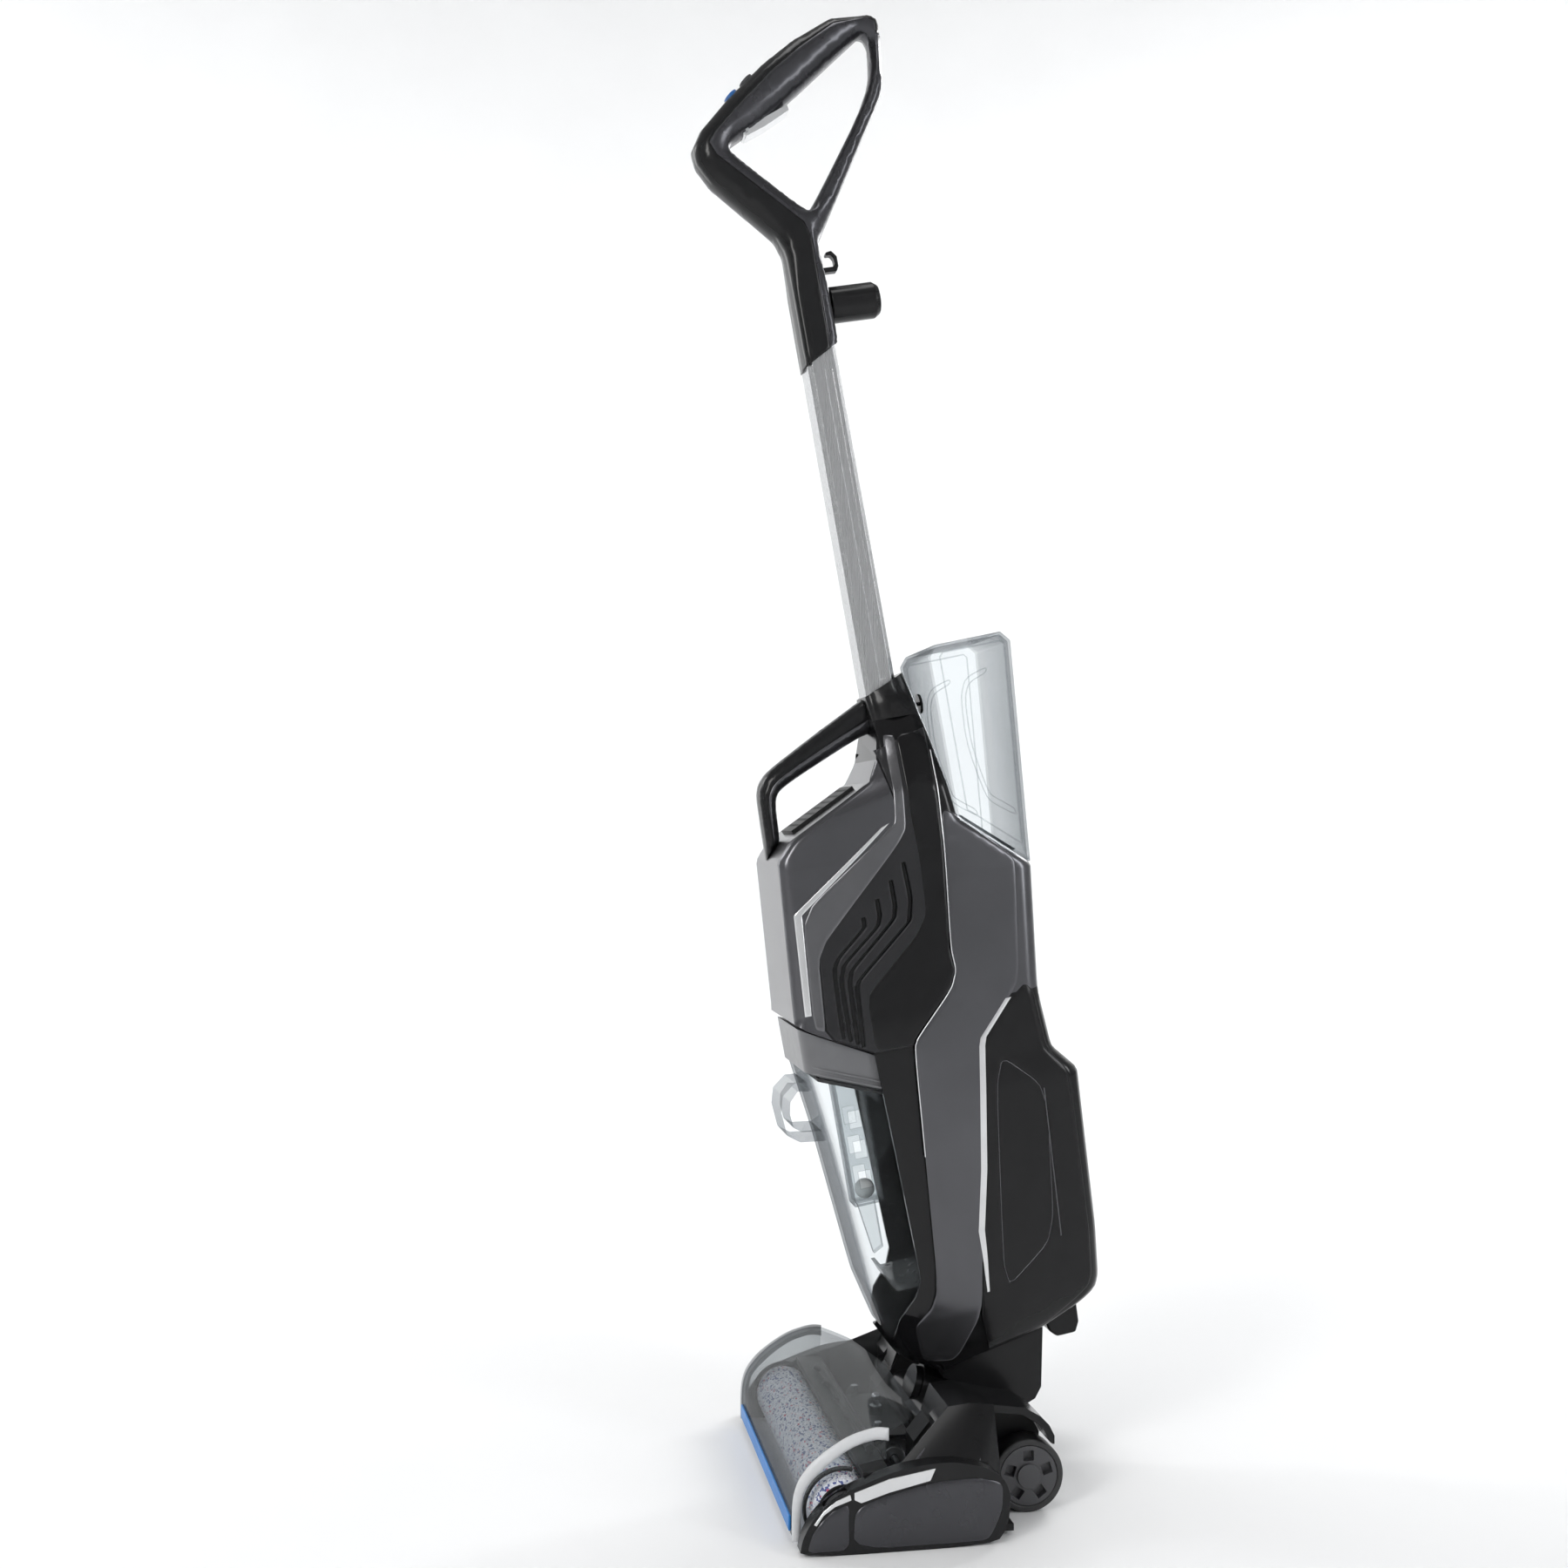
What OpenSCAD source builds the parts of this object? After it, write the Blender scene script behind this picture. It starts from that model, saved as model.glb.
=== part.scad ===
// Upright wet and dry floor scrubber, parked, with both tanks, the window and the roll in place.
// +X is the machine's left, -Y its front and +Z up. The origin is on the floor under its middle.

/* [Posture] */
// Forward lean of the parked body, in degrees
lean = 10.2; // [9.8:0.1:10.6]
// Distance from the head's front reference line back to the middle of the whole machine
middle_y = 85.4; // [80:0.1:90]
// Distance from the head's front reference line to the top of the body, where the tube enters
collar_y = 75; // [73:0.5:77]
// Height of the top of the body
collar_z = 626.8; // [620:0.1:630]

/* [Head] */
// Width of the floor head over its side panels
head_w = 300; // [300:1:304]
// Radius of the microfibre roll
roll_r = 23; // [22:0.1:23.5]
// Radius of the hard core inside the roll
core_r = 19; // [18:0.5:20]
// Distance of the roll's axis behind the reference line
roll_y = 21; // [20:0.5:22]
// Height of the roll's axis
roll_z = 24; // [24:0.1:24.4]
// Radius of the rear wheels
wheel_r = 27; // [26:0.5:27]
// Width of a rear wheel
wheel_w = 20; // [18:1:21]
// Radius of the steel wheel axles
axle_r = 4; // [3:0.5:5]

/* [Neck] */
// Distance of the recline pivot behind the reference line
pivot_y = 108; // [107:0.5:109]
// Height of the recline pivot
pivot_z = 50; // [49:0.5:51]
// Radius of the recline trunnions
trunnion_r = 12; // [10:0.5:12]
// Downward slope of the steering axis towards the back, in degrees
swivel_slope = 20; // [19:0.5:21]
// Radius of the steering spigot
spigot_r = 12; // [10:0.5:12]

/* [Body] */
// Thickness of the outer skins
skin = 3; // [2.5:0.5:3.5]
// Thickness of the structural walls under the skins
wall = 3; // [2.5:0.5:3.5]
// Wall thickness of the clear tanks
tank_wall = 2.2; // [1.8:0.1:2.6]

/* [Handle] */
// Width of the handle tube, across the machine
tube_w = 32; // [30:1:33]
// Depth of the handle tube, front to back
tube_d = 26; // [24:1:26]
// Wall of the handle tube
tube_wall = 1.8; // [1.5:0.1:2.2]
// Thickness of the handle across the machine
handle_t = 38; // [37:1:40]
// Radius of the upper cord wrap
wrap_r = 14.5; // [13:0.5:15]

/* [Hidden] */
$fn = 48;
running = 0.05;
gap = 0.4;

panel_t = 1.5;
cheek_out = head_w / 2 - panel_t;
cheek_in = 136;
bay_half = 128;
roll_half = 134;
chamber_r = roll_r + 3;
arm_in = 50;
arm_out = 76;
wheel_in = arm_out + 2;
axle_y = 169;
motor_y = 78;
motor_z = 27;
belt_in = 139.5;
belt_out = 144.5;
hub_pulley_r = 16;
motor_pulley_r = 7;
shaft_r = 3;
belt_t = 1.6;
swivel_y = 104;
swivel_z = 68;
socket_r = 17;
socket_end = 33;
disc_r = 15;
standpipe_v = -25;
standpipe_r = 12;
cage_v = -81;
cap_v = 52;

// Half-width of the body at each height, from the collar down: [height along the tube, half-width]
body_half_widths = [
    [10, 22], [-12, 24], [-45, 42], [-90, 61], [-130, 66], [-260, 66], [-330, 64], [-450, 60],
    [-490, 52], [-520, 42], [-545, 33]
];

// Side outlines, as [distance behind the tube's axis, height along the tube]
core_side = [
    [-14.5, -30], [25, -30], [31, -112], [34, -115], [85, -160], [73, -254], [70, -268], [72, -306],
    [90, -327], [81, -489], [78, -498], [68, -505], [35, -525], [-49, -539], [-59, -536], [-81, -521],
    [-88, -513], [-89, -508], [-80, -487], [-66, -473], [-60, -460], [-63, -362], [-66, -281],
    [-96, -265], [-101, -256], [-96, -196], [-14, -118], [-20, -60], [-14.5, -40]
];
housing_side = [
    [-20, -60], [-14, -118], [-96, -196], [-101, -256], [-96, -265], [-112, -255.5], [-122, -248],
    [-113, -124], [-100, -110], [-30, -76]
];
vent_side = [
    [-19, -52], [-13, -118], [-95, -196], [-100, -256], [-95, -265], [-66, -280.5], [-36, -281],
    [-32, -274], [1, -243], [7, -230], [6, -212], [19, -104], [24, -40]
];
side_panel_side = [
    [19, -105], [6.5, -212], [7.5, -230], [1.5, -243.5], [-31, -275], [-35, -282], [-42, -376],
    [-49, -471], [-55, -484], [-70, -496], [-66, -528], [-40, -532], [-16, -497], [-7, -431], [3, -385],
    [18, -291], [20, -285], [46, -259], [57, -246], [70, -156], [34, -116], [30, -112]
];
rear_side = [
    [70, -255], [73, -268], [76, -304], [94, -325], [85, -491], [82, -501], [71, -509], [35, -525],
    [-12, -532], [-16, -497.5], [-6.5, -431], [3.5, -385], [18.5, -291.5], [20.5, -285.5], [46.5, -259.5],
    [57.5, -246.5]
];
handle_hole = [
    [-43, 441], [-29, 448], [8, 469], [71, 513], [82, 520], [86, 512], [80, 473], [15, 384], [10, 382],
    [-41, 434]
];
handle_part_line = [
    [7, 268], [8, 355], [4, 370], [-56, 431], [-60, 441], [-52, 450], [-32, 467], [0, 492], [26, 509],
    [56, 525], [84, 528], [90, 524], [90, 516]
];

// Height of the housing's sloping underside, of the lid's top just under it and of the tank's rim
function underside(v) = -250 - 0.553 * (v + 122);
function lid_top(v) = underside(v) - 1.5;
function rim(v) = -288 - 0.4146 * (v + 117);
function reversed(list) = [for (i = [len(list) - 1 : -1 : 0]) list[i]];
function body_outline(inset) = concat(
    [for (p = body_half_widths) [p[1] - inset, p[0]]],
    [for (p = reversed(body_half_widths)) [inset - p[1], p[0]]]
);
// A point of the upright's side outline, as [y, z] in the machine's frame before centring
function stood(p) = [
    collar_y + p[0] * cos(lean) - p[1] * sin(lean),
    collar_z + p[0] * sin(lean) + p[1] * cos(lean)
];
// A point beside the steering axis: [distance along it, distance above it] as [y, z]
function beside_axis(p) = [
    swivel_y + p[0] * cos(swivel_slope) + p[1] * sin(swivel_slope),
    swivel_z - p[0] * sin(swivel_slope) + p[1] * cos(swivel_slope)
];
function strip(path, width) = concat(path, [for (p = reversed(path)) [p[0] - width, p[1]]]);

module centred() {
    translate([0, -middle_y, 0]) children();
}

module upright() {
    centred() translate([0, collar_y, collar_z]) rotate([lean, 0, 0]) children();
}

module along_swivel() {
    translate([0, swivel_y, swivel_z]) rotate([-90 - swivel_slope, 0, 0]) children();
}

module side(points, x0, x1) {
    translate([x0, 0, 0]) rotate([90, 0, 90]) linear_extrude(x1 - x0) polygon(points);
}

module front(points, y0, y1) {
    translate([0, y1, 0]) rotate([90, 0, 0]) linear_extrude(y1 - y0) polygon(points);
}

module plan(points, z0, z1) {
    translate([0, 0, z0]) linear_extrude(z1 - z0) polygon(points);
}

module rod_x(r, x0, x1, y, z) {
    translate([x0, y, z]) rotate([0, 90, 0]) cylinder(h = x1 - x0, r = r);
}

module both_sides() {
    children();
    mirror([1, 0, 0]) children();
}

// ---------------------------------------------------------------- floor head

module arm_block() {
    side([[86, 6], [172, 8], [182, 20], [184, 52], [177, 65], [162, 74.5], [121, 79.5], [106, 78.5],
          [98, 64], [86, 50]], arm_in, arm_out);
}

// The clearance that the swivelled, reclined body needs, on the inner face of each rear arm
module arm_taper() {
    both_sides() plan([[arm_in - 1, 124], [arm_in + 9, 141], [arm_in + 17.5, 190], [arm_in - 1, 190]], -1, 95);
}

module foot_base() {
    color("#202124") centred() difference() {
        union() {
            side([[39, 3], [95, 3], [95, 10], [64, 10], [60, 44], [54, 52], [34, 52], [34, 3]],
                 -cheek_in, cheek_in);
            side([[60, 40], [94, 40], [90, 46], [56, 46]], -49, 49);
            both_sides() arm_block();
            both_sides() side([[90, 3], [146, 3], [146, 8], [90, 8]], arm_in, cheek_in - 2);
        }
        rod_x(chamber_r, -cheek_in - 1, cheek_in + 1, roll_y, roll_z);
        rod_x(17, -22, 49.5, motor_y, motor_z);
        rod_x(shaft_r + 1.5, 40, cheek_in + 1, motor_y, motor_z);
        both_sides() rod_x(trunnion_r + running, arm_in - 1, arm_in + 12, pivot_y, pivot_z);
        both_sides() rod_x(axle_r, arm_out - 12, arm_out + 1, axle_y, wheel_r);
        translate([-130, 47, 0]) cube([260, 2.4, 12]);
        arm_taper();
        both_sides() translate([115, 120, 0]) cylinder(h = 9, r = 1.6, $fn = 24);
    }
}

module cheek_outline(x0, x1) {
    side([[-14, 0], [-12, 12], [-7, 22], [1, 32], [12, 40], [27, 47], [57, 57], [80, 60], [100, 60],
          [125, 54], [136, 44], [140, 32], [137, 12], [128, 0]], x0, x1);
}

module side_cover() {
    difference() {
        union() {
            cheek_outline(cheek_in, cheek_out);
            hull() {
                side([[66, 12], [62, 57], [100, 60], [125, 54], [136, 44], [136, 12]], cheek_in - 1, cheek_in);
                side([[96, 12], [98, 70], [105, 84], [121, 85.5], [140, 84], [140, 12]], 103, 104);
            }
            side([[98, 65], [105, 84.5], [121, 86], [164, 80], [176, 73], [183, 66], [187, 58], [187, 52],
                  [184.4, 52], [177.3, 65.3], [162, 75], [121, 80], [105.7, 79]], arm_in, 104);
            side([[98, 12], [98, 70], [105.7, 79], [121, 80], [134, 78.6], [134, 12]], arm_out, 104);
        }
        arm_taper();
        rod_x(wheel_r + 3, wheel_in - 2, 110, axle_y, wheel_r);
        both_sides() translate([115, 120, 0]) cylinder(h = 30, r = 1.6, $fn = 24);
    }
}

module side_cover_left() {
    color("#1d1e20") centred() difference() {
        side_cover();
        hull() {
            rod_x(hub_pulley_r + 4, belt_in - 1, belt_out + 1, roll_y, roll_z);
            rod_x(motor_pulley_r + 4, belt_in - 1, belt_out + 1, motor_y, motor_z);
        }
        rod_x(10, cheek_in - 1, belt_in, roll_y, roll_z);
        rod_x(axle_r + running, belt_out, belt_out + 3, roll_y, roll_z);
        rod_x(shaft_r + 1.5, 90, belt_in, motor_y, motor_z);
        rod_x(shaft_r + running, belt_out, belt_out + 3, motor_y, motor_z);
    }
}

module side_cover_right() {
    color("#1d1e20") centred() difference() {
        mirror([1, 0, 0]) side_cover();
        translate([-cheek_out + 2.5, -20, roll_z - 10]) cube([cheek_out - cheek_in, 20 + roll_y, 20]);
        rod_x(10, -cheek_out + 2.5, -cheek_in + 1, roll_y, roll_z);
    }
}

module foot_side_panels() {
    color("#55565b") centred() both_sides() {
        side([[24, 3], [25, 28], [31, 34], [48, 40], [80, 47], [112, 49], [134, 44], [133, 24], [124, 5],
              [118, 3]], cheek_out, head_w / 2);
        side([[-9, 3], [-5, 16], [2, 26], [10, 32], [22, 36], [22, 3]], cheek_out, head_w / 2);
    }
}

module head_trims() {
    color("silver") centred() both_sides() {
        side([[-4, 23], [3, 32], [12, 38.5], [22, 42.5], [23, 38.5], [11, 34.5], [3, 29], [-2, 22]],
             cheek_out, head_w / 2);
        side([[25, 38.5], [25, 43.5], [50, 51.5], [78, 56], [84, 57], [80, 48.5], [50, 42], [30, 36]],
             cheek_out, head_w / 2);
    }
}

module brush_motor() {
    color("#8d8f94") centred() difference() {
        union() {
            rod_x(15, -18, 40, motor_y, motor_z);
            rod_x(9, 40, 46, motor_y, motor_z);
            rod_x(8, -21, -18, motor_y, motor_z);
        }
        rod_x(shaft_r + running, 36, 47, motor_y, motor_z);
    }
}

module motor_pulley() {
    color("#c8c8c8") centred() {
        rod_x(shaft_r, 37, belt_out + 2.5, motor_y, motor_z);
        rod_x(motor_pulley_r, belt_in, belt_out, motor_y, motor_z);
    }
}

module drive_belt() {
    color("#18181a") centred() difference() {
        hull() {
            rod_x(hub_pulley_r + 0.3 + belt_t, belt_in + 0.5, belt_out - 0.5, roll_y, roll_z);
            rod_x(motor_pulley_r + 0.3 + belt_t, belt_in + 0.5, belt_out - 0.5, motor_y, motor_z);
        }
        hull() {
            rod_x(hub_pulley_r + 0.3, belt_in, belt_out, roll_y, roll_z);
            rod_x(motor_pulley_r + 0.3, belt_in, belt_out, motor_y, motor_z);
        }
    }
}

module drive_hub() {
    color("#3a3b3f") centred() {
        rod_x(hub_pulley_r, belt_in, belt_out, roll_y, roll_z);
        rod_x(axle_r, belt_out, belt_out + 2.5, roll_y, roll_z);
        rod_x(8, roll_half + 1, belt_in, roll_y, roll_z);
    }
}

module spray_bar() {
    color("#7b7d80") centred() {
        rod_x(3, -100, 100, 47, 55);
        for (x = [-80 : 40 : 80]) {
            translate([x, 44, 57.4]) rotate([60, 0, 0]) cylinder(h = 6, r = 1.8, $fn = 24);
        }
    }
}

module squeegee() {
    color("#2b2b2d") centred() translate([-129.5, 47.2, 0.8]) cube([259, 2, 11]);
}

module wheel_axles() {
    color("#b9bbbe") centred() both_sides() rod_x(axle_r, arm_out - 12, wheel_in + wheel_w - 1, axle_y, wheel_r);
}

module foot_screws() {
    color("#8a8a8a") centred() both_sides() translate([115, 120, 2]) {
        cylinder(h = 20, r = 1.6, $fn = 24);
        translate([0, 0, -1]) cylinder(h = 2, r = 3, $fn = 24);
    }
}

module latch_pins() {
    color("#d5d6d8") centred() {
        translate([0, 74, 46]) {
            cylinder(h = 7, r = 5);
            cylinder(h = 12, r = 2.5);
            translate([0, 0, 13.5]) sphere(r = 3.6);
        }
        both_sides() translate([44, 66, 46]) cylinder(h = 9, r = 3);
    }
}

module wheel() {
    difference() {
        union() {
            rod_x(wheel_r - 5, wheel_in, wheel_in + wheel_w - 1, axle_y, wheel_r);
            rod_x(9, wheel_in + wheel_w - 2, wheel_in + wheel_w + 1, axle_y, wheel_r);
        }
        rod_x(axle_r + running, wheel_in - 1, wheel_in + wheel_w - 1, axle_y, wheel_r);
        for (i = [0 : 4]) {
            translate([0, axle_y, wheel_r]) rotate([72 * i + 18, 0, 0]) {
                translate([wheel_in + wheel_w - 6, 11, -4]) cube([7, 7.5, 8]);
            }
        }
    }
}

module tyre() {
    difference() {
        rod_x(wheel_r, wheel_in + 0.5, wheel_in + wheel_w - 0.5, axle_y, wheel_r);
        rod_x(wheel_r - 5, wheel_in, wheel_in + wheel_w, axle_y, wheel_r);
    }
}

module wheel_left() {
    color("#3c3d40") centred() wheel();
}

module tyre_left() {
    color("#232324") centred() tyre();
}

module wheel_right() {
    color("#3c3d40") centred() mirror([1, 0, 0]) wheel();
}

module tyre_right() {
    color("#232324") centred() mirror([1, 0, 0]) tyre();
}

// ---------------------------------------------------------------- window over the roll

window_top = [[-15, 5], [-15, 32], [-11, 45], [-2, 56], [10, 66], [26, 75], [45, 80], [70, 77], [92, 70]];
window_under = [[89, 67.6], [69.6, 74], [45, 77.4], [27, 72.5], [11.5, 63.8], [0, 54.5], [-8.6, 44],
                [-12.4, 31.6], [-12.4, 5]];

module window_shell() {
    color([0.8, 0.85, 0.88, 0.5]) centred() union() {
        intersection() {
            side(concat(window_top, window_under), -bay_half, bay_half);
            plan([[-bay_half, -20], [bay_half, -20], [bay_half, 54], [99, 76], [46, 93], [-46, 93], [-99, 76],
                  [-bay_half, 54]], 0, 90);
        }
        both_sides() difference() {
            side([[-13, 5], [-13, 31.6], [-9, 44], [0, 54.5], [11.5, 63.8], [27, 72.5], [45, 77.4], [53, 76.5],
                  [53, 58], [28, 54], [28, 5]], bay_half - 2.5, bay_half);
            rod_x(chamber_r + 2.5, bay_half - 3, bay_half + 1, roll_y, roll_z);
            translate([bay_half - 3, roll_y, 0]) cube([4, 40, roll_z + chamber_r]);
        }
    }
}

module window_rim() {
    color("#c9cbcd") centred() both_sides() intersection() {
        side([[-16, 4], [-16, 32], [-12, 46], [-3, 57.5], [9.5, 67], [25.5, 76.2], [45, 81.3], [58, 79.5],
              [58, 70], [45, 73], [28, 68.5], [14, 60], [3, 51], [-6, 42], [-9.5, 31], [-10, 4]],
             bay_half + 0.1, bay_half + 4);
        plan([[0, -30], [200, -30], [200, 52], [120, 58], [0, 58]], 0, 90);
    }
}

module window_seal() {
    color("#2a2b2e") centred() both_sides() difference() {
        rod_x(chamber_r + 2.4, bay_half - 7, bay_half - 2.6, roll_y, roll_z);
        rod_x(chamber_r, bay_half - 8, bay_half, roll_y, roll_z);
        side([[roll_y, roll_z], [roll_y + 12, roll_z + 40], [roll_y + 60, roll_z + 40], [roll_y + 60, -20],
              [-30, -20], [-30, roll_z - 16], [roll_y, roll_z - 16]], bay_half - 8, bay_half);
    }
}

module bumper_strip() {
    color("#1b74c4") centred() translate([-120, -17, 8]) cube([240, 2, 11]);
}

// ---------------------------------------------------------------- roll

module roll_end_tab() {
    color("#b9708a") centred() {
        rod_x(8.5, -cheek_out + 3.5, -roll_half - 0.5, roll_y, roll_z);
        rod_x(5, -roll_half - 1, -roll_half + 12, roll_y, roll_z);
    }
}

module roll_core() {
    color("#8f939a") centred() difference() {
        rod_x(core_r, -roll_half + 0.5, roll_half - 0.5, roll_y, roll_z);
        rod_x(core_r - 2.5, -roll_half + 14, roll_half, roll_y, roll_z);
        rod_x(5 + running, -roll_half, -roll_half + 15, roll_y, roll_z);
    }
}

module roll_pile() {
    color("#dfe2ea") centred() difference() {
        rod_x(roll_r, -roll_half + 2, roll_half - 2, roll_y, roll_z);
        rod_x(core_r, -roll_half, roll_half, roll_y, roll_z);
    }
}

module roll_socket() {
    color("#2e2f33") centred() difference() {
        rod_x(core_r - 2.5, roll_half - 16, roll_half - 0.5, roll_y, roll_z);
        translate([0, roll_y, roll_z]) rotate([0, 90, 0]) cylinder(h = roll_half, r = 9, $fn = 6);
    }
}

// ---------------------------------------------------------------- neck

module recline_yoke() {
    color("#2a2b2e") centred() difference() {
        union() {
            rod_x(14, -46, 46, pivot_y, pivot_z);
            both_sides() rod_x(trunnion_r, 45, arm_in + 10, pivot_y, pivot_z);
            along_swivel() translate([0, 0, 3]) cylinder(h = socket_end - 3, r = socket_r);
        }
        along_swivel() cylinder(h = socket_end + 2, r = spigot_r + running);
        along_swivel() translate([0, 0, -12]) cylinder(h = 15, r = disc_r + gap);
    }
}

module swivel_neck() {
    color("#222326") centred() {
        along_swivel() cylinder(h = socket_end + 4, r = spigot_r);
        along_swivel() translate([0, 0, -3]) cylinder(h = 5.5, r = disc_r);
        side([beside_axis([34, -13]), beside_axis([34, 18.2]), beside_axis([12, 18.2]), stood([-49, -539]),
              stood([35, -525]), [201, 70], [196, 61], [170, 47]], -30, 30);
    }
}

// ---------------------------------------------------------------- body

module body_block(points, inset) {
    intersection() {
        side(points, -70, 70);
        front(body_outline(inset), -150, 120);
    }
}

module body_skin(points) {
    difference() {
        body_block(points, 0);
        body_block(core_side, skin);
    }
}

module tank_bay() {
    intersection() {
        side([[-150, underside(-150)], [22, underside(22)], [17, -519.5], [-45, -521.5], [-91, -510],
              [-150, -494]], -70, 70);
        front(body_outline(skin + wall), -150, 120);
    }
}

module motor_bay() {
    side([[-28, -90], [-98, -122], [-109, -133], [-117, -241], [-100, -251], [-20, -296], [-6, -290],
          [-6, -130]], -59, 59);
}

module clean_bay() {
    side([[35, -108], [60, -100], [90, -140], [78.2, -142], [76, -199], [69, -205.5], [40, -205.5], [35, -200]],
         -48, 48);
    translate([0, cap_v, -252]) cylinder(h = 50, r = 17.6);
}

module body_shell() {
    color("#1b1c1e") upright() difference() {
        body_block(core_side, skin);
        tank_bay();
        motor_bay();
        clean_bay();
        side([[28, -300], [60, -268], [66, -310], [84, -331], [75, -484], [64, -497], [28, -508]], -44, 44);
        translate([-tube_w / 2, -tube_d / 2, -60]) cube([tube_w, tube_d, 80]);
    }
}

module motor_housing() {
    color("#55565b") upright() difference() {
        body_block(housing_side, 0);
        motor_bay();
        side([[-125, underside(-125)], [-80, underside(-80)], [-80, -300], [-125, -300]], -70, 70);
    }
}

module vent_slot(shift) {
    path = [[-19, -141], [-19, -167], [-22, -185], [-61, -216], [-73, -228], [-77, -262]];
    side([for (p = strip(path, 3.6)) [p[0] - shift * 0.62 + 14, p[1] + shift * 0.62 - 10]], -80, 80);
}

module vent_panels() {
    color("#26272a") upright() difference() {
        body_skin(vent_side);
        for (i = [0 : 4]) vent_slot(i * 10 - 10);
    }
}

module body_side_panels() {
    color("#515257") upright() body_skin(side_panel_side);
}

module rear_cover() {
    color("#202124") upright() body_skin(rear_side);
}

module stripe(path) {
    difference() {
        intersection() {
            side(strip(path, 3.5), -72, 72);
            front(body_outline(-0.6), -150, 120);
        }
        front(body_outline(0), -151, 121);
    }
}

module side_stripes() {
    color("#d9dadc") upright() {
        stripe([[-27, -112], [-113, -168], [-118.2, -243]]);
        stripe([[47, -259], [22, -285], [20, -291], [5, -385], [-5, -431], [-8, -480]]);
    }
}

module intake_grille() {
    color("#151617") upright() difference() {
        side([[-92, -106], [-38, -79.8], [-39, -77.4], [-93, -103.6]], -24, 24);
        for (i = [0 : 6], j = [-3 : 3]) {
            translate([j * 6.5, -86 + i * 7, -103.5 + i * 3.4]) cylinder(h = 8, r = 1.6, $fn = 16);
        }
    }
}

module tube_collar() {
    color("#17181a") upright() difference() {
        body_block([[-14.5, -30], [-14.5, -10], [20, 5], [24, -13], [25, -30]], 0);
        translate([-tube_w / 2, -tube_d / 2, -60]) cube([tube_w, tube_d, 80]);
    }
}

module carry_handle() {
    color("#161719") upright() side([
        [-14.5, -11], [-61, -34], [-101, -55], [-109, -64], [-112, -74], [-113, -124], [-100, -110],
        [-98, -78], [-91, -69], [-24, -41], [-14.5, -39]
    ], -14, 14);
}

module suction_motor() {
    color("#9a9ca0") upright() {
        translate([0, -58, -238]) cylinder(h = 36, r = 42);
        translate([0, -58, -202]) cylinder(h = 52, r = 32);
        translate([0, -58, -150]) cylinder(h = 10, r = 12);
    }
}

module water_pump() {
    color("#4f7d5c") upright() {
        translate([12, 36, -440]) cube([26, 26, 40]);
        translate([25, 49, -400]) cylinder(h = 34, r = 11);
        translate([25, 49, -460]) cylinder(h = 20, r = 4);
    }
}

module suction_duct() {
    color("#303134") upright() translate([-18, 50, -486]) difference() {
        cylinder(h = 150, r = 15);
        translate([0, 0, -1]) cylinder(h = 152, r = 13);
    }
}

module lower_cord_wrap() {
    color("#232427") upright() side([[71, -509], [70, -533], [66, -541], [50, -541], [44, -535], [42, -522]],
                                    -14, 14);
}

// ---------------------------------------------------------------- handle

module tube_section(w, d) {
    difference() {
        square([w, d], center = true);
        for (sx = [-1, 1], sy = [-1, 1]) {
            translate([sx * w / 2, sy * d / 2]) rotate(45) square([5, 5], center = true);
        }
    }
}

module handle_tube() {
    color("#d3d5d8") upright() translate([0, 0, -58]) difference() {
        linear_extrude(356) tube_section(tube_w - 0.2, tube_d - 0.2);
        translate([0, 0, -1]) linear_extrude(358) tube_section(tube_w - 2 * tube_wall, tube_d - 2 * tube_wall);
        for (s = [-1, 1]) translate([s * tube_w / 2 - 0.8, 0, 60]) cube([1.6, 6, 250]);
    }
}

module handle_block(points) {
    difference() {
        side(points, -handle_t / 2, handle_t / 2);
        translate([-tube_w / 2, -tube_d / 2, 200]) cube([tube_w, tube_d, 100]);
    }
}

module handle_shell() {
    color("#48494d") upright() difference() {
        handle_block(concat(handle_part_line, [[96, 516], [91, 477], [88, 468], [15, 355], [16, 274]]));
        side(handle_hole, -30, 30);
        side([[-30, 446], [-33, 455], [-14, 467], [7, 478], [12, 471]], -9, 9);
        translate([0, 8, 306]) rotate([-90, 0, 0]) cylinder(h = 12, r = 6 + running);
        rod_x(1.5, -11, 11, -27, 451);
    }
}

module handle_band() {
    color("#161719") upright() difference() {
        handle_block(concat(handle_part_line, [
            [96, 516], [96, 528], [90, 533.5], [55, 533.5], [22, 519], [-5, 503], [-38, 478], [-64, 455],
            [-73, 441], [-72, 429], [-63, 412], [-19, 363], [-14.5, 350], [-14.5, 256]
        ]));
        for (along = [0, 18]) button_place(along) translate([0, 0, -4]) cylinder(h = 14, r = 6.5 + gap);
    }
}

module cord_clip() {
    color("#1c1d1f") upright() side([
        [15.3, 332], [27, 332], [29, 336], [29, 344], [25, 349], [20, 348], [20, 345.5], [24, 345.5],
        [26, 342], [26, 338], [24.5, 336], [15.3, 336]
    ], -4, 4);
}

module upper_cord_wrap() {
    color("#2a2b2e") upright() translate([0, 0, 306]) rotate([-90, 0, 0]) {
        translate([0, 0, 16.2]) cylinder(h = 36, r = wrap_r);
        translate([0, 0, 52.2]) cylinder(h = 5, r1 = wrap_r, r2 = wrap_r - 3);
        translate([0, 0, 9]) cylinder(h = 8, r = 6);
    }
}

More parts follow.
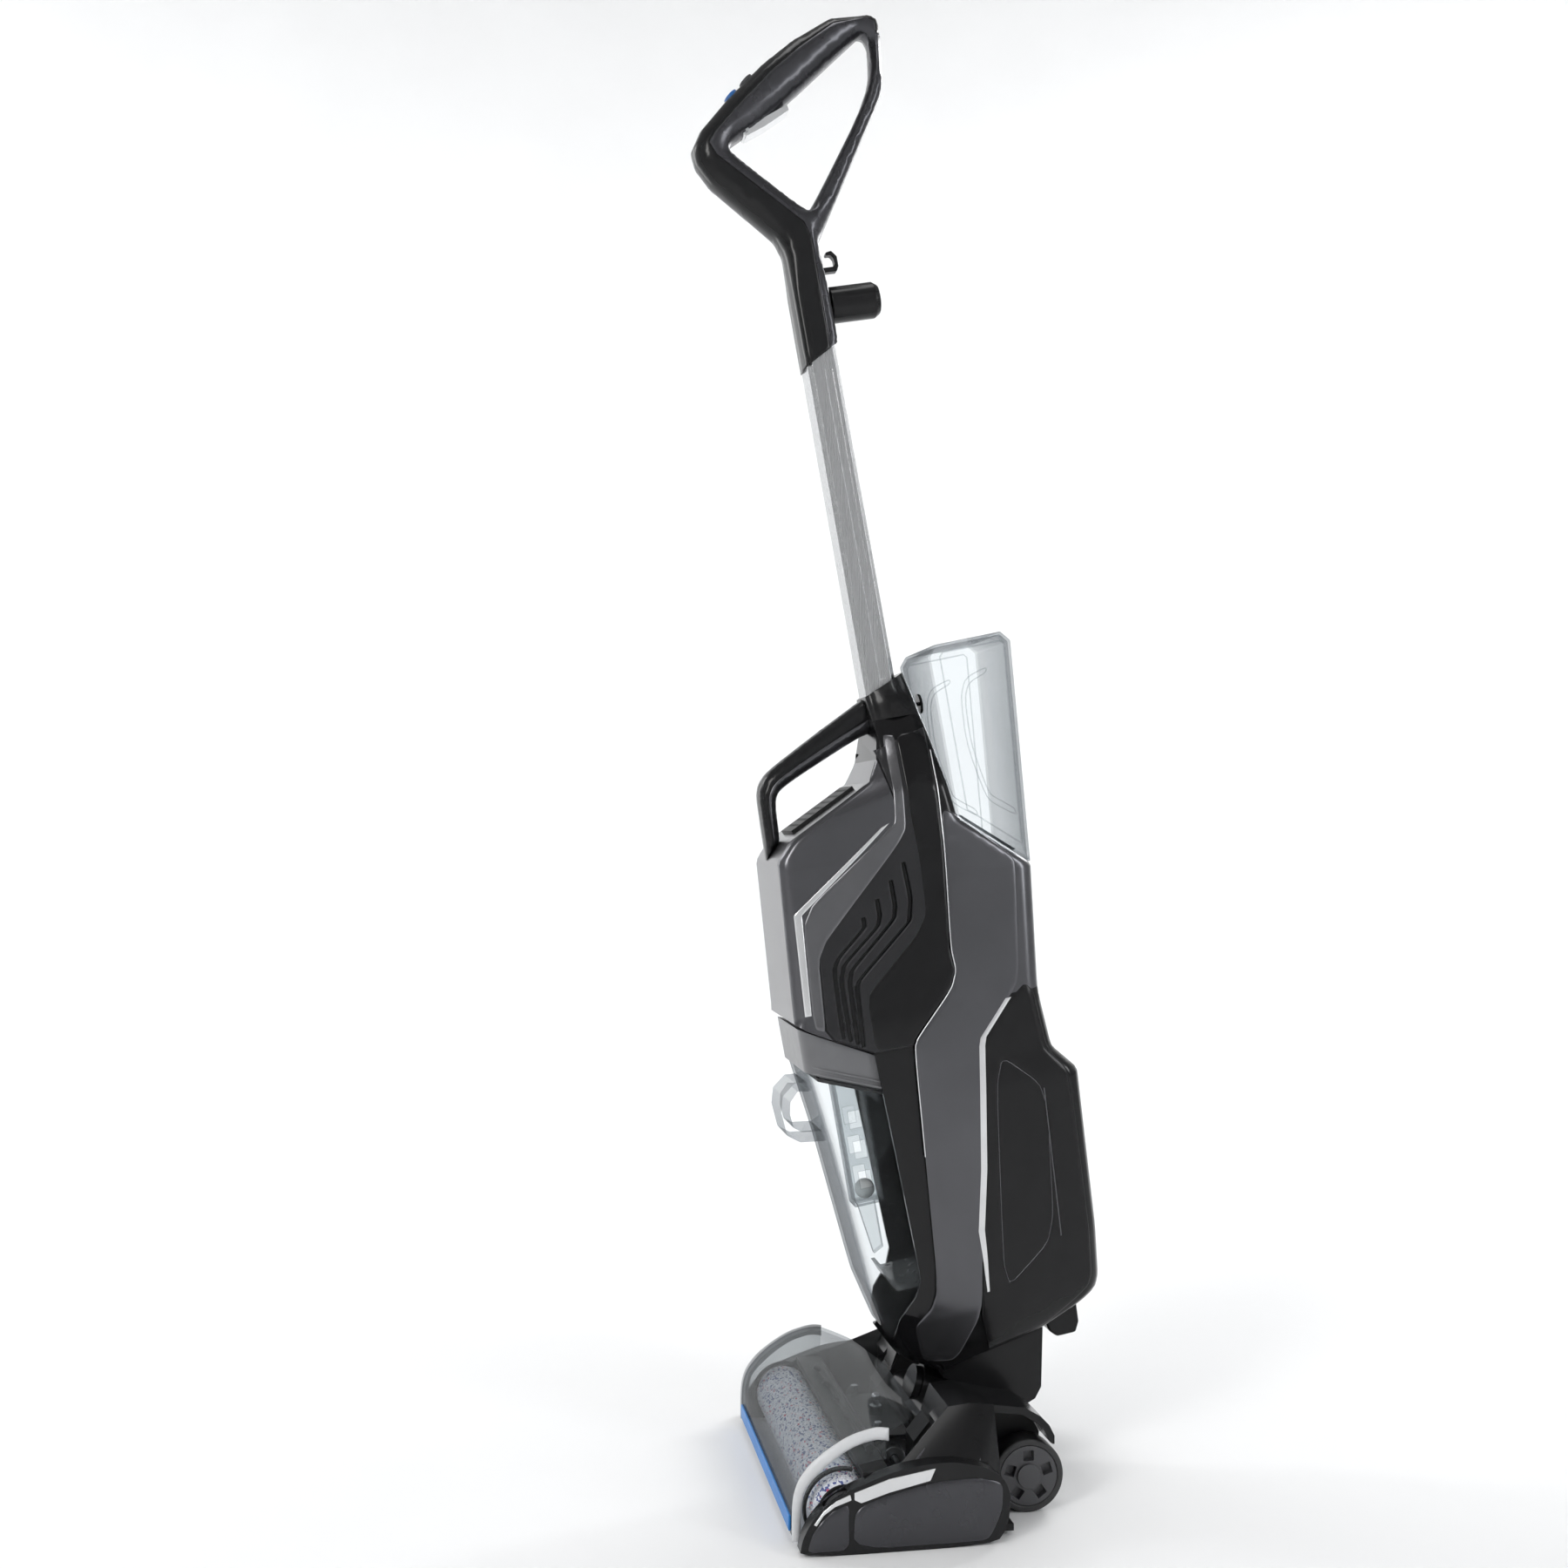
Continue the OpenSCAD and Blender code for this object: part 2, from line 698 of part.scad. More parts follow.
// The trigger lies along the underside of the grip and turns about the pin at its front end
module trigger() {
    color("#cfd1d4") upright() difference() {
        union() {
            side([[-29, 450], [-28, 446.5], [-12, 452.5], [10, 463.5], [9, 468], [-14, 458.5]], -8, 8);
            rod_x(4, -8, 8, -27, 451);
        }
        rod_x(1.5 + running, -9, 9, -27, 451);
    }
}

module trigger_pin() {
    color("#b0b2b5") upright() rod_x(1.5, -11, 11, -27, 451);
}

module trigger_spring() {
    color("#a0a2a5") upright() translate([0, -4, 464.6]) rotate([-20, 0, 0]) difference() {
        cylinder(h = 6.2, r = 2.6, $fn = 24);
        translate([0, 0, -1]) cylinder(h = 9, r = 1.8, $fn = 24);
    }
}

// A place on the outer face of the grip, a distance along it, with +Z pointing into the grip
module button_place(along) {
    translate([0, -33 + along * 0.797, 481.8 + along * 0.604]) rotate([-142.8, 0, 0]) children();
}

module power_button() {
    color("#2b6fb5") upright() button_place(0) translate([0, 0, -2]) cylinder(h = 8.5, r = 6.5);
}

module mode_button() {
    color("#4a4b4f") upright() button_place(18) translate([0, 0, -2]) cylinder(h = 8.5, r = 6.5);
}

// ---------------------------------------------------------------- clean water tank

module clean_tank() {
    color([0.85, 0.9, 0.93, 0.45]) upright() difference() {
        union() {
            side([[33.5, 12], [40, 20], [95, 22], [102, 14], [86.6, -160.2], [37, -116.4], [33.5, -113.6]],
                 -54, 54);
            side([[37, -117], [37, -199], [41, -203.5], [67, -203.5], [73, -198], [74.5, -149]], -46, 46);
            translate([0, cap_v, -216]) cylinder(h = 14, r = 11);
        }
        side([[36, 10], [42, 17.6], [93.5, 19.4], [99.4, 12.6], [84.6, -157], [37.6, -114.6], [36, -112]],
             -54 + tank_wall, 54 - tank_wall);
        side([[39.2, -112], [39.2, -198], [42, -201.3], [66, -201.3], [70.8, -197], [72.3, -140]],
             -46 + tank_wall, 46 - tank_wall);
        translate([0, cap_v, -217]) cylinder(h = 20, r = 9);
    }
}

module clean_tank_cap() {
    color("#1f2022") upright() translate([0, cap_v, 0]) difference() {
        union() {
            translate([0, 0, -229]) cylinder(h = 24.5, r = 15);
            translate([0, 0, -248]) cylinder(h = 20, r = 8.5);
            translate([0, 0, -240]) cylinder(h = 3, r = 10);
        }
        translate([0, 0, -216]) cylinder(h = 14, r = 11);
    }
}

module vent_valve() {
    color("#202124") upright() translate([0, 0, -22]) rotate([-90, 0, 0]) {
        translate([0, 0, 31.3]) cylinder(h = 2.2, r = 8);
        translate([0, 0, 27]) cylinder(h = 5, r = 1.5, $fn = 24);
    }
}

// ---------------------------------------------------------------- dirty water tank

module tank_block(points, inset) {
    intersection() {
        side(points, -70, 70);
        front(body_outline(skin + wall + 1 + inset), -150, 120);
    }
}

module dirty_tank() {
    color([0.85, 0.88, 0.9, 0.45]) upright() difference() {
        union() {
            difference() {
                tank_block([[-117, rim(-117)], [20, rim(20)], [15.6, -505], [12, -511], [-45, -519],
                            [-85, -508.5], [-89, -503], [-98, -464], [-109, -348]], 0);
                tank_block([[-130, -230], [20, -280], [17.8, -345], [13.4, -504], [11, -508.7], [-45, -516.6],
                            [-84, -506.2], [-86.8, -502], [-95.8, -463.6], [-106.8, -347.6], [-114.6, -290]],
                           tank_wall);
            }
            translate([0, standpipe_v, -515]) cylinder(h = 145, r = standpipe_r);
            difference() {
                side([[-115, -298], [-125, -297], [-136, -305], [-139.5, -317], [-138, -336], [-129, -343],
                      [-109.6, -346]], -24, 24);
                side([[-112.9, -306], [-124, -304], [-131, -311], [-133, -320], [-132, -331], [-126, -335.5],
                      [-110, -338]], -25, 25);
                tank_block([[-116.6, -280], [-60, -280], [-60, -360], [-108, -360]], 0);
            }
        }
        translate([0, standpipe_v, -530]) cylinder(h = 170, r = standpipe_r - 2);
    }
}

module tank_lid() {
    color("#4d4e53") upright() difference() {
        union() {
            tank_block([[-119.5, lid_top(-119.5)], [19.5, lid_top(19.5)], [19.5, rim(19.5) + gap],
                        [-119.5, rim(-119.5) + gap]], 0);
            tank_block([[-110, rim(-110) + 3], [13, rim(13) + 3], [13, rim(13) - 4], [-109, rim(-109) - 4]],
                       tank_wall + 2.4);
        }
        tank_block([[-100, rim(-100) - 10], [-100, lid_top(-100) - 4], [-98, lid_top(-98) - 3],
                    [6, lid_top(6) - 3], [6, rim(6) - 10]], tank_wall + 6);
    }
}

module lid_seal() {
    color("#2b2c2f") upright() difference() {
        tank_block([[-112.4, rim(-112.4) - 1], [15.4, rim(15.4) - 1], [15.4, rim(15.4) - 4],
                    [-112.2, rim(-112.2) - 4]], tank_wall + 0.5);
        tank_block([[-110, rim(-110) + 5], [13, rim(13) + 5], [13, rim(13) - 8], [-109, rim(-109) - 8]],
                   tank_wall + 2.4);
    }
}

// Clear cage for the float, with its snorkel below and the fin that turns the spray down
module float_cage() {
    color([0.85, 0.9, 0.93, 0.5]) upright() difference() {
        union() {
            side([[cage_v - 12, -405], [cage_v + 12, -405], [cage_v + 12, lid_top(cage_v + 12) - 3],
                  [cage_v - 12, lid_top(cage_v - 12) - 3]], -12, 12);
            side([[cage_v - 8, -405], [cage_v + 6, -405], [cage_v + 6, -442], [cage_v - 2, -446]], -4, 4);
            side([[-69.5, lid_top(-69.5) - 3], [4, lid_top(4) - 3], [4, -352], [-14, -364], [-56, -364],
                  [-69.5, -380]], -1.2, 1.2);
            side([[-66, -322], [-64, -322], [-64, lid_top(-64) - 3], [-66, lid_top(-66) - 3]], -40, 40);
        }
        translate([-10.4, cage_v - 10.4, -403]) cube([20.8, 20.8, 140]);
        for (i = [0 : 2]) translate([-13, cage_v - 5, -392 + 24 * i]) cube([26, 10, 14]);
    }
}

module float_ball() {
    color("#e8e9ea") upright() translate([0, cage_v, -394.5]) sphere(r = 8);
}

module strainer() {
    color("#9fa3a8") upright() difference() {
        union() {
            side([[-74, -470], [9, -470], [9, -380], [6.5, -380], [3, -420], [3, -466.5], [-76, -466.5]],
                 -34, 34);
            side([[-80, -460], [-77, -460], [-72, -470], [-76, -470]], -34, 34);
        }
        translate([0, standpipe_v, -480]) cylinder(h = 20, r = standpipe_r + 2);
        for (i = [0 : 4], j = [-3 : 3]) {
            translate([j * 9, -68 + i * 7 - (i > 3 ? 1 : 0), -480]) cylinder(h = 20, r = 1.8, $fn = 16);
        }
    }
}

foot_base();
side_cover_left();
side_cover_right();
foot_side_panels();
head_trims();
brush_motor();
motor_pulley();
drive_belt();
drive_hub();
spray_bar();
squeegee();
wheel_axles();
foot_screws();
latch_pins();
wheel_left();
tyre_left();
wheel_right();
tyre_right();
window_shell();
window_rim();
window_seal();
bumper_strip();
roll_end_tab();
roll_core();
roll_pile();
roll_socket();
recline_yoke();
swivel_neck();
body_shell();
motor_housing();
vent_panels();
body_side_panels();
rear_cover();
side_stripes();
intake_grille();
tube_collar();
carry_handle();
suction_motor();
water_pump();
suction_duct();
lower_cord_wrap();
handle_tube();
handle_shell();
handle_band();
cord_clip();
upper_cord_wrap();
trigger();
trigger_pin();
trigger_spring();
power_button();
mode_button();
clean_tank();
clean_tank_cap();
vent_valve();
dirty_tank();
tank_lid();
lid_seal();
float_cage();
float_ball();
strainer();
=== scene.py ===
import math

import bmesh
import bpy
import numpy as np
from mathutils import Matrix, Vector
from mathutils.geometry import delaunay_2d_cdt


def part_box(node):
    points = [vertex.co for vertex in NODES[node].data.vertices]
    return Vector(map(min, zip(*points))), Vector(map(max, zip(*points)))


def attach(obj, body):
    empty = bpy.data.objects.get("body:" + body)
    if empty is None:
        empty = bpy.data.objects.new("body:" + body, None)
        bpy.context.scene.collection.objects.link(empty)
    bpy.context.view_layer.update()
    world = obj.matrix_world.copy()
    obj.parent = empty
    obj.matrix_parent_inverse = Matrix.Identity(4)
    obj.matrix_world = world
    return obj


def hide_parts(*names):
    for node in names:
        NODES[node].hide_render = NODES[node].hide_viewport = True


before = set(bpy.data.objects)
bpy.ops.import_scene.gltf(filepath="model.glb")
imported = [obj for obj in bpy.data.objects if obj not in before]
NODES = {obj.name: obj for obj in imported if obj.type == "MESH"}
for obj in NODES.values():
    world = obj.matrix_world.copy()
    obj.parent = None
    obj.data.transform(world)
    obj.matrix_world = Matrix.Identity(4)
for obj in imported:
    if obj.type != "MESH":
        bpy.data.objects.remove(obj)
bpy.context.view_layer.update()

MM = 0.001
WELD_REACH = 2e-6  # vertices nearer than this, in metres, become one

# The upright's own axes: v points back and u up along the handle tube. They start at the top of the body.
LEAN = math.radians(10.2)
COS, SIN = math.cos(LEAN), math.sin(LEAN)
MIDDLE = 85.4  # from the floor head's reference line to the middle of the frame
ORIGIN_Y = (75.0 - MIDDLE) * MM
ORIGIN_Z = 626.8 * MM


def at(x, v, u):
    """A point of the upright, in millimetres along X, v and u, as a point of the frame in metres."""
    v, u = v * MM, u * MM
    return (x * MM, ORIGIN_Y + v * COS - u * SIN, ORIGIN_Z + v * SIN + u * COS)


def head(x, y, z):
    """A point of the floor head, in millimetres from its reference line, as a point of the frame."""
    return (x * MM, (y - MIDDLE) * MM, z * MM)


def shown(name, data):
    """A new object in the scene."""
    obj = bpy.data.objects.new(name, data)
    bpy.context.scene.collection.objects.link(obj)
    return obj


# ---- scene

def set_camera():
    """The camera that was fitted to the photograph's outlines."""
    data = bpy.data.cameras.new("camera")
    data.lens = 39.0
    data.sensor_width = 36.0
    data.clip_start, data.clip_end = 0.05, 60
    cam = shown("camera", data)
    azimuth, pitch = math.radians(80.4), math.radians(1.6)
    level = math.cos(pitch)
    forward = Vector((-math.sin(azimuth) * level, math.cos(azimuth) * level, math.sin(pitch)))
    cam.location = (1.331, -0.3104, 0.508)
    cam.rotation_euler = forward.to_track_quat("-Z", "Y").to_euler()
    bpy.context.scene.camera = cam


def area_light(name, place, target, size, power, color=(1, 1, 1), size_y=None):
    data = bpy.data.lights.new(name, "AREA")
    data.shape = "RECTANGLE"
    data.size, data.size_y = size, size_y or size
    data.energy, data.color = power, color
    lamp = shown(name, data)
    lamp.location = place
    lamp.rotation_euler = (Vector(target) - Vector(place)).to_track_quat("-Z", "Y").to_euler()


def set_lights():
    """Soft boxes round the machine, and two lamps that whiten the wall behind it."""
    world = bpy.data.worlds.new("studio")
    bpy.context.scene.world = world
    world.use_nodes = True
    background = world.node_tree.nodes["Background"]
    background.inputs["Color"].default_value = (1, 1, 1, 1)
    background.inputs["Strength"].default_value = 0.3
    area_light("key", (1.8, -1.9, 1.7), (0, 0, 0.5), 0.7, 34, (1, 0.99, 0.975), 1.6)
    area_light("fill", (1.9, 1.9, 1.3), (0, 0, 0.5), 0.5, 20, (0.97, 0.985, 1), 1.8)
    area_light("rim", (-1.6, 1.7, 1.9), (0, 0, 0.6), 1.0, 14)
    area_light("top", (0.1, -0.1, 3.0), (0, 0, 0), 1.2, 14)
    area_light("strip", (-1.5, -1.6, 1.0), (0, 0, 0.5), 0.4, 8, (1, 1, 1), 1.9)
    for side in (-1, 1):
        area_light("wall_wash_%d" % side, (-1.5, 2.6 * side, 2.3), (-4.6, 0.4 * side, 1.2), 1.0, 62)
    # Up to eleven clear walls lie behind each other in the tanks, and the usual limit of eight turns them black
    bpy.context.scene.cycles.transparent_max_bounces = 24
    view = bpy.context.scene.view_settings
    view.view_transform = "Standard"
    view.look = "None"


def set_floor():
    """A pale floor that curves up into a low wall all round."""
    flat, bend, top, steps = 3.2, 1.6, 4.5, 96
    profile = [(1.2, 0.0), (flat, 0.0)]
    profile += [(flat + bend * math.sin(a), bend - bend * math.cos(a)) for a in np.linspace(0.1, math.pi / 2, 14)]
    profile += [(flat + bend, top)]
    turns = [2 * math.pi * k / steps for k in range(steps)]
    verts, faces = [], []
    for r, z in profile:
        verts += [(r * math.cos(turn), r * math.sin(turn), z) for turn in turns]
    verts.append((0, 0, 0))
    for k in range(steps):
        n = (k + 1) % steps
        faces.append((len(verts) - 1, k, n))
        for row in range(len(profile) - 1):
            a, b = row * steps, (row + 1) * steps
            faces.append((a + k, b + k, b + n, a + n))
    mesh = bpy.data.meshes.new("floor")
    mesh.from_pydata(verts, [], faces)
    mesh.shade_smooth()
    floor = shown("floor", mesh)
    mesh.materials.append(plastic("floor_paper", (0.86, 0.865, 0.87), 0.62, grain=0.02, grain_size=700,
                                  mottle=0.012, mottle_size=3))


# ---- materials

GRAIN_DEPTH = 0.0002


class Tree:
    """A short way to write a material's nodes. A keyword i_Some_Name sets the input called Some Name."""

    def __init__(self, name):
        self.mat = bpy.data.materials.new(name)
        self.mat.use_nodes = True
        self.tree = self.mat.node_tree
        self.tree.nodes.clear()
        self.out = self.add("ShaderNodeOutputMaterial")

    def add(self, kind, **values):
        node = self.tree.nodes.new(kind)
        for key, value in values.items():
            if key.startswith("i_"):
                node.inputs[key[2:].replace("_", " ")].default_value = value
            else:
                setattr(node, key, value)
        return node

    def link(self, a, b):
        self.tree.links.new(a, b)

    def coords(self, scale=(1, 1, 1), rotation=(0, 0, 0)):
        mapping = self.add("ShaderNodeMapping", i_Scale=scale, i_Rotation=rotation)
        self.link(self.add("ShaderNodeTexCoord").outputs["Object"], mapping.inputs["Vector"])
        return mapping.outputs["Vector"]

    def noise(self, vector, size, detail=2.0, rough=0.5):
        node = self.add("ShaderNodeTexNoise", i_Scale=size, i_Detail=detail, i_Roughness=rough)
        self.link(vector, node.inputs["Vector"])
        return node.outputs["Fac"]

    def ramp(self, fac, stops):
        node = self.add("ShaderNodeValToRGB")
        while len(node.color_ramp.elements) < len(stops):
            node.color_ramp.elements.new(0.5)
        for element, (place, color) in zip(node.color_ramp.elements, stops):
            element.position = place
            element.color = (*color, 1) if len(color) == 3 else color
        self.link(fac, node.inputs["Fac"])
        return node.outputs["Color"]

    def span(self, fac, low, high):
        node = self.add("ShaderNodeMapRange", i_To_Min=low, i_To_Max=high)
        self.link(fac, node.inputs["Value"])
        return node.outputs["Result"]

    def bump(self, height, strength, distance, normal=None):
        node = self.add("ShaderNodeBump", i_Strength=strength, i_Distance=distance)
        self.link(height, node.inputs["Height"])
        if normal:
            self.link(normal, node.inputs["Normal"])
        return node.outputs["Normal"]

    def cells(self, vector, size):
        node = self.add("ShaderNodeTexVoronoi", i_Scale=size)
        self.link(vector, node.inputs["Vector"])
        return node

    def principled(self, tone, rough, normal, **values):
        shader = self.add("ShaderNodeBsdfPrincipled", **values)
        self.link(tone, shader.inputs["Base Color"])
        self.link(rough, shader.inputs["Roughness"])
        self.link(normal, shader.inputs["Normal"])
        return shader.outputs[0]

    def done(self, surface):
        self.link(surface, self.out.inputs["Surface"])
        return self.mat


def shade(color, k):
    """The colour made k times as bright."""
    return tuple(max(0.0, min(1.0, c * k)) for c in color)


def plastic(name, color, rough, metallic=0.0, grain=0.12, grain_size=2200, mottle=0.10, mottle_size=38, coat=0.0,
            wear=0.0, spread=0.07, specular=0.5):
    """Moulded plastic or metal: fine grain, cloudy tone, uneven gloss and lighter worn edges."""
    t = Tree(name)
    where = t.coords()
    cloud = t.noise(where, mottle_size, 4)
    fine = t.noise(where, grain_size, 3)
    tone = t.ramp(cloud, [(0.3, shade(color, 1 - mottle)), (0.7, shade(color, 1 + mottle))])
    if wear:
        edge = t.ramp(t.add("ShaderNodeNewGeometry").outputs["Pointiness"],
                      [(0.54, (0, 0, 0)), (0.62, (1, 1, 1))])
        broken = t.add("ShaderNodeMath", operation="MULTIPLY")
        t.link(edge, broken.inputs[0])
        t.link(t.span(t.noise(where, 420, 3), 0.0, wear), broken.inputs[1])
        mix = t.add("ShaderNodeMix", data_type="RGBA")
        t.link(broken.outputs[0], mix.inputs["Factor"])
        t.link(tone, mix.inputs["A"])
        mix.inputs["B"].default_value = (*[min(1, c * 2.2 + 0.08) for c in color], 1)
        tone = mix.outputs["Result"]
    return t.done(t.principled(
        tone, t.span(t.noise(where, 95, 3), rough - spread, rough + spread), t.bump(fine, grain, GRAIN_DEPTH),
        i_Metallic=metallic, i_Specular_IOR_Level=specular, i_Coat_Weight=coat, i_Coat_Roughness=0.12))


def metallic_paint(name, color, rough=0.3, metallic=0.55):
    """Dark plastic with fine metal flake under a thin gloss."""
    t = Tree(name)
    where = t.coords()
    flake = t.cells(where, 3200)
    cloud = t.noise(where, 26, 4)
    tone = t.ramp(cloud, [(0.3, shade(color, 0.96)), (0.7, shade(color, 1.05))])
    mix = t.add("ShaderNodeMix", data_type="RGBA", blend_type="ADD")
    mix.inputs["Factor"].default_value = 0.07
    t.link(tone, mix.inputs["A"])
    t.link(t.ramp(flake.outputs["Distance"], [(0.1, (0.2, 0.2, 0.21)), (0.5, (0, 0, 0))]), mix.inputs["B"])
    return t.done(t.principled(
        mix.outputs["Result"], t.span(t.noise(where, 48, 2), rough - 0.015, rough + 0.02),
        t.bump(t.noise(where, 2600, 2), 0.02, GRAIN_DEPTH),
        i_Metallic=metallic, i_Specular_IOR_Level=0.22, i_Coat_Weight=0.12, i_Coat_Roughness=0.1))


def brushed(name, color=(0.50, 0.505, 0.512), rough=0.27):
    """Aluminium brushed along the tube."""
    t = Tree(name)
    streak = t.noise(t.coords((1400, 1400, 9), (-LEAN, 0, 0)), 1.0, 4, 0.6)
    tone = t.ramp(streak, [(0.3, shade(color, 0.93)), (0.7, shade(color, 1.05))])
    return t.done(t.principled(tone, t.span(streak, rough - 0.05, rough + 0.06), t.bump(streak, 0.05, GRAIN_DEPTH),
                               i_Metallic=1.0))


def clear(name, tint=(0.965, 0.975, 0.98), edge=(0.40, 0.42, 0.44), rough=0.05, body=0.02, gloss=1.0):
    """Clear moulded plastic: see-through face on, darker and glossier at its edges."""
    t = Tree(name)
    where = t.coords()
    weight = t.add("ShaderNodeLayerWeight", i_Blend=0.35)
    wave = t.bump(t.noise(where, 46, 3), 0.06, 0.002, t.bump(t.noise(where, 900, 2), 0.02, GRAIN_DEPTH))
    t.link(wave, weight.inputs["Normal"])
    facing = weight.outputs["Facing"]
    see = t.add("ShaderNodeBsdfTransparent")
    t.link(t.ramp(facing, [(0.2, tint), (0.5, shade(tint, 0.84)), (0.82, shade(edge, 0.85))]), see.inputs["Color"])
    shine = t.principled(t.ramp(t.noise(where, 30, 3), [(0.3, (0.20, 0.21, 0.215)), (0.7, (0.25, 0.26, 0.265))]),
                         t.span(t.noise(where, 160, 3), rough * 0.6, rough * 1.6), wave, i_Coat_Weight=0.6)
    mix = t.add("ShaderNodeMixShader")
    t.link(t.span(t.ramp(facing, [(0.0, (0, 0, 0)), (0.7, (0.16, 0.16, 0.16)), (1.0, (1, 1, 1))]),
                  body, body + 0.34 * gloss), mix.inputs[0])
    t.link(see.outputs[0], mix.inputs[1])
    t.link(shine, mix.inputs[2])
    return t.done(mix.outputs[0])


def microfibre(name):
    """Pale pile flecked with navy and a few red fibres."""
    t = Tree(name)
    where = t.coords()
    grey = t.add("ShaderNodeSeparateColor")
    t.link(t.cells(where, 620).outputs["Color"], grey.inputs[0])
    tone = t.ramp(grey.outputs[0], [(0.0, (0.10, 0.13, 0.32)), (0.17, (0.22, 0.27, 0.45)), (0.2, (0.72, 0.75, 0.82)),
                                    (0.6, (0.80, 0.82, 0.87)), (0.93, (0.86, 0.87, 0.9)), (0.955, (0.62, 0.12, 0.2))])
    tone.node.color_ramp.interpolation = "CONSTANT"
    return t.done(t.principled(
        tone, t.span(t.noise(where, 300, 3), 0.82, 0.98), t.bump(t.noise(where, 900, 4), 0.7, 0.0012),
        i_Sheen_Weight=0.5, i_Sheen_Roughness=0.4))


M = {
    "black": plastic("black_satin", (0.0085, 0.0086, 0.0092), 0.23, grain=0.03, mottle=0.1, wear=0.1, spread=0.03,
                     specular=0.2, coat=0.12),
    "gloss": plastic("black_gloss", (0.006, 0.006, 0.0066), 0.14, grain=0.015, mottle=0.1, spread=0.03, specular=0.3),
    "grain": plastic("black_grained", (0.012, 0.012, 0.0125), 0.46, grain=0.28, grain_size=1500, wear=0.2,
                     specular=0.22),
    "grey": metallic_paint("grey_metallic", (0.105, 0.105, 0.113), 0.25, 0.85),
    "grey_light": metallic_paint("grey_metallic_light", (0.15, 0.15, 0.158), 0.25, 0.85),
    "grey_vent": metallic_paint("grey_metallic_vent", (0.030, 0.030, 0.032), 0.3, 0.6),
    "grey_dark": metallic_paint("grey_metallic_dark", (0.062, 0.062, 0.068), 0.27, 0.8),
    "grey_rear": plastic("rear_satin", (0.0095, 0.0095, 0.0101), 0.23, grain=0.02, mottle=0.07, spread=0.02,
                         specular=0.2, coat=0.1),
    "silver": plastic("silver_trim", (0.72, 0.725, 0.735), 0.22, 0.85, grain=0.03, mottle=0.05, spread=0.05),
    "alu": brushed("brushed_aluminium"),
    "steel": plastic("steel", (0.55, 0.56, 0.57), 0.24, 1.0, grain=0.05, grain_size=900, mottle=0.06),
    "light": plastic("light_grey", (0.60, 0.61, 0.625), 0.34, grain=0.06, mottle=0.04, coat=0.1, wear=0.2),
    "lid": plastic("lid_grey", (0.125, 0.127, 0.134), 0.36, grain=0.08, mottle=0.07, coat=0.1, wear=0.3),
    "rubber": plastic("rubber", (0.022, 0.022, 0.023), 0.62, grain=0.35, grain_size=1100, mottle=0.15),
    "tyre": plastic("tyre_rubber", (0.019, 0.019, 0.020), 0.55, grain=0.3, grain_size=900, mottle=0.15, wear=0.5),
    "hub": plastic("wheel_grey", (0.045, 0.045, 0.049), 0.36, grain=0.12, mottle=0.08, wear=0.4),
    "motor": plastic("motor_case", (0.33, 0.34, 0.35), 0.38, 0.75, grain=0.1, grain_size=800, mottle=0.08),
    "green": plastic("pump_green", (0.07, 0.21, 0.11), 0.42, grain=0.1, mottle=0.1),
    "pink": plastic("tab_pink", (0.42, 0.13, 0.21), 0.42, grain=0.1, mottle=0.08),
    "blue": plastic("bumper_blue", (0.012, 0.17, 0.50), 0.4, grain=0.12, mottle=0.07),
    "button": plastic("button_blue", (0.02, 0.12, 0.36), 0.28, grain=0.04, mottle=0.06, coat=0.3),
    "clear": clear("clear_tank"),
    "clear_part": clear("clear_fitting", (0.93, 0.945, 0.95), (0.33, 0.35, 0.37), 0.09, 0.09),
    "clear_window": clear("clear_window", (0.95, 0.965, 0.97), (0.36, 0.38, 0.41), 0.05, 0.10, 1.3),
    "smoke": clear("strainer_smoke", (0.62, 0.64, 0.65), (0.25, 0.26, 0.27), 0.22, 0.35),
    "pile": microfibre("microfibre_pile"),
    "float": plastic("float_white", (0.78, 0.78, 0.77), 0.4, grain=0.1, mottle=0.03),
}

# Groups of materials with the record's material slot of each; these dictionaries are made but not kept or used
dict.fromkeys(("black", "gloss", "grey_vent", "grey_rear"), "black_plastic")
dict.fromkeys(("grey", "grey_light", "grey_dark", "lid"), "grey_plastic")
dict.fromkeys(("clear", "clear_part", "clear_window"), "clear_plastic")

# ---- shapes

def inside(points, polygon):
    """Which of the points lie in the polygon."""
    poly = np.asarray(polygon, float)
    x, y = points[:, 0], points[:, 1]
    hit = np.zeros(len(points), bool)
    for (ax, ay), (bx, by) in zip(poly, np.roll(poly, -1, 0)):
        cross = (ay > y) != (by > y)
        slope = (bx - ax) / (by - ay) if by != ay else 0.0
        hit ^= cross & (x < ax + (y - ay) * slope)
    return hit


def reach(points, segments):
    """The distance of each point from the nearest of the segments."""
    best = np.full(len(points), 1e9)
    for a, b in segments:
        a, b = np.asarray(a, float), np.asarray(b, float)
        d = b - a
        t = np.clip(((points - a) @ d) / max(d @ d, 1e-12), 0, 1)
        best = np.minimum(best, np.linalg.norm(points - (a + t[:, None] * d), axis=1))
    return best


def loop_segments(polygon):
    """The sides of the closed outline, as pairs of points."""
    return list(zip(polygon, list(polygon[1:]) + [polygon[0]]))


def soften(polygon, times=2, share=0.22):
    """The closed outline with its corners cut, a little more each time."""
    pts = [np.array(p, float) for p in polygon]
    for _ in range(times):
        new = []
        for a, b in zip(pts, pts[1:] + pts[:1]):
            new += [a + (b - a) * share, b - (b - a) * share]
        pts = new
    return [tuple(p) for p in pts]


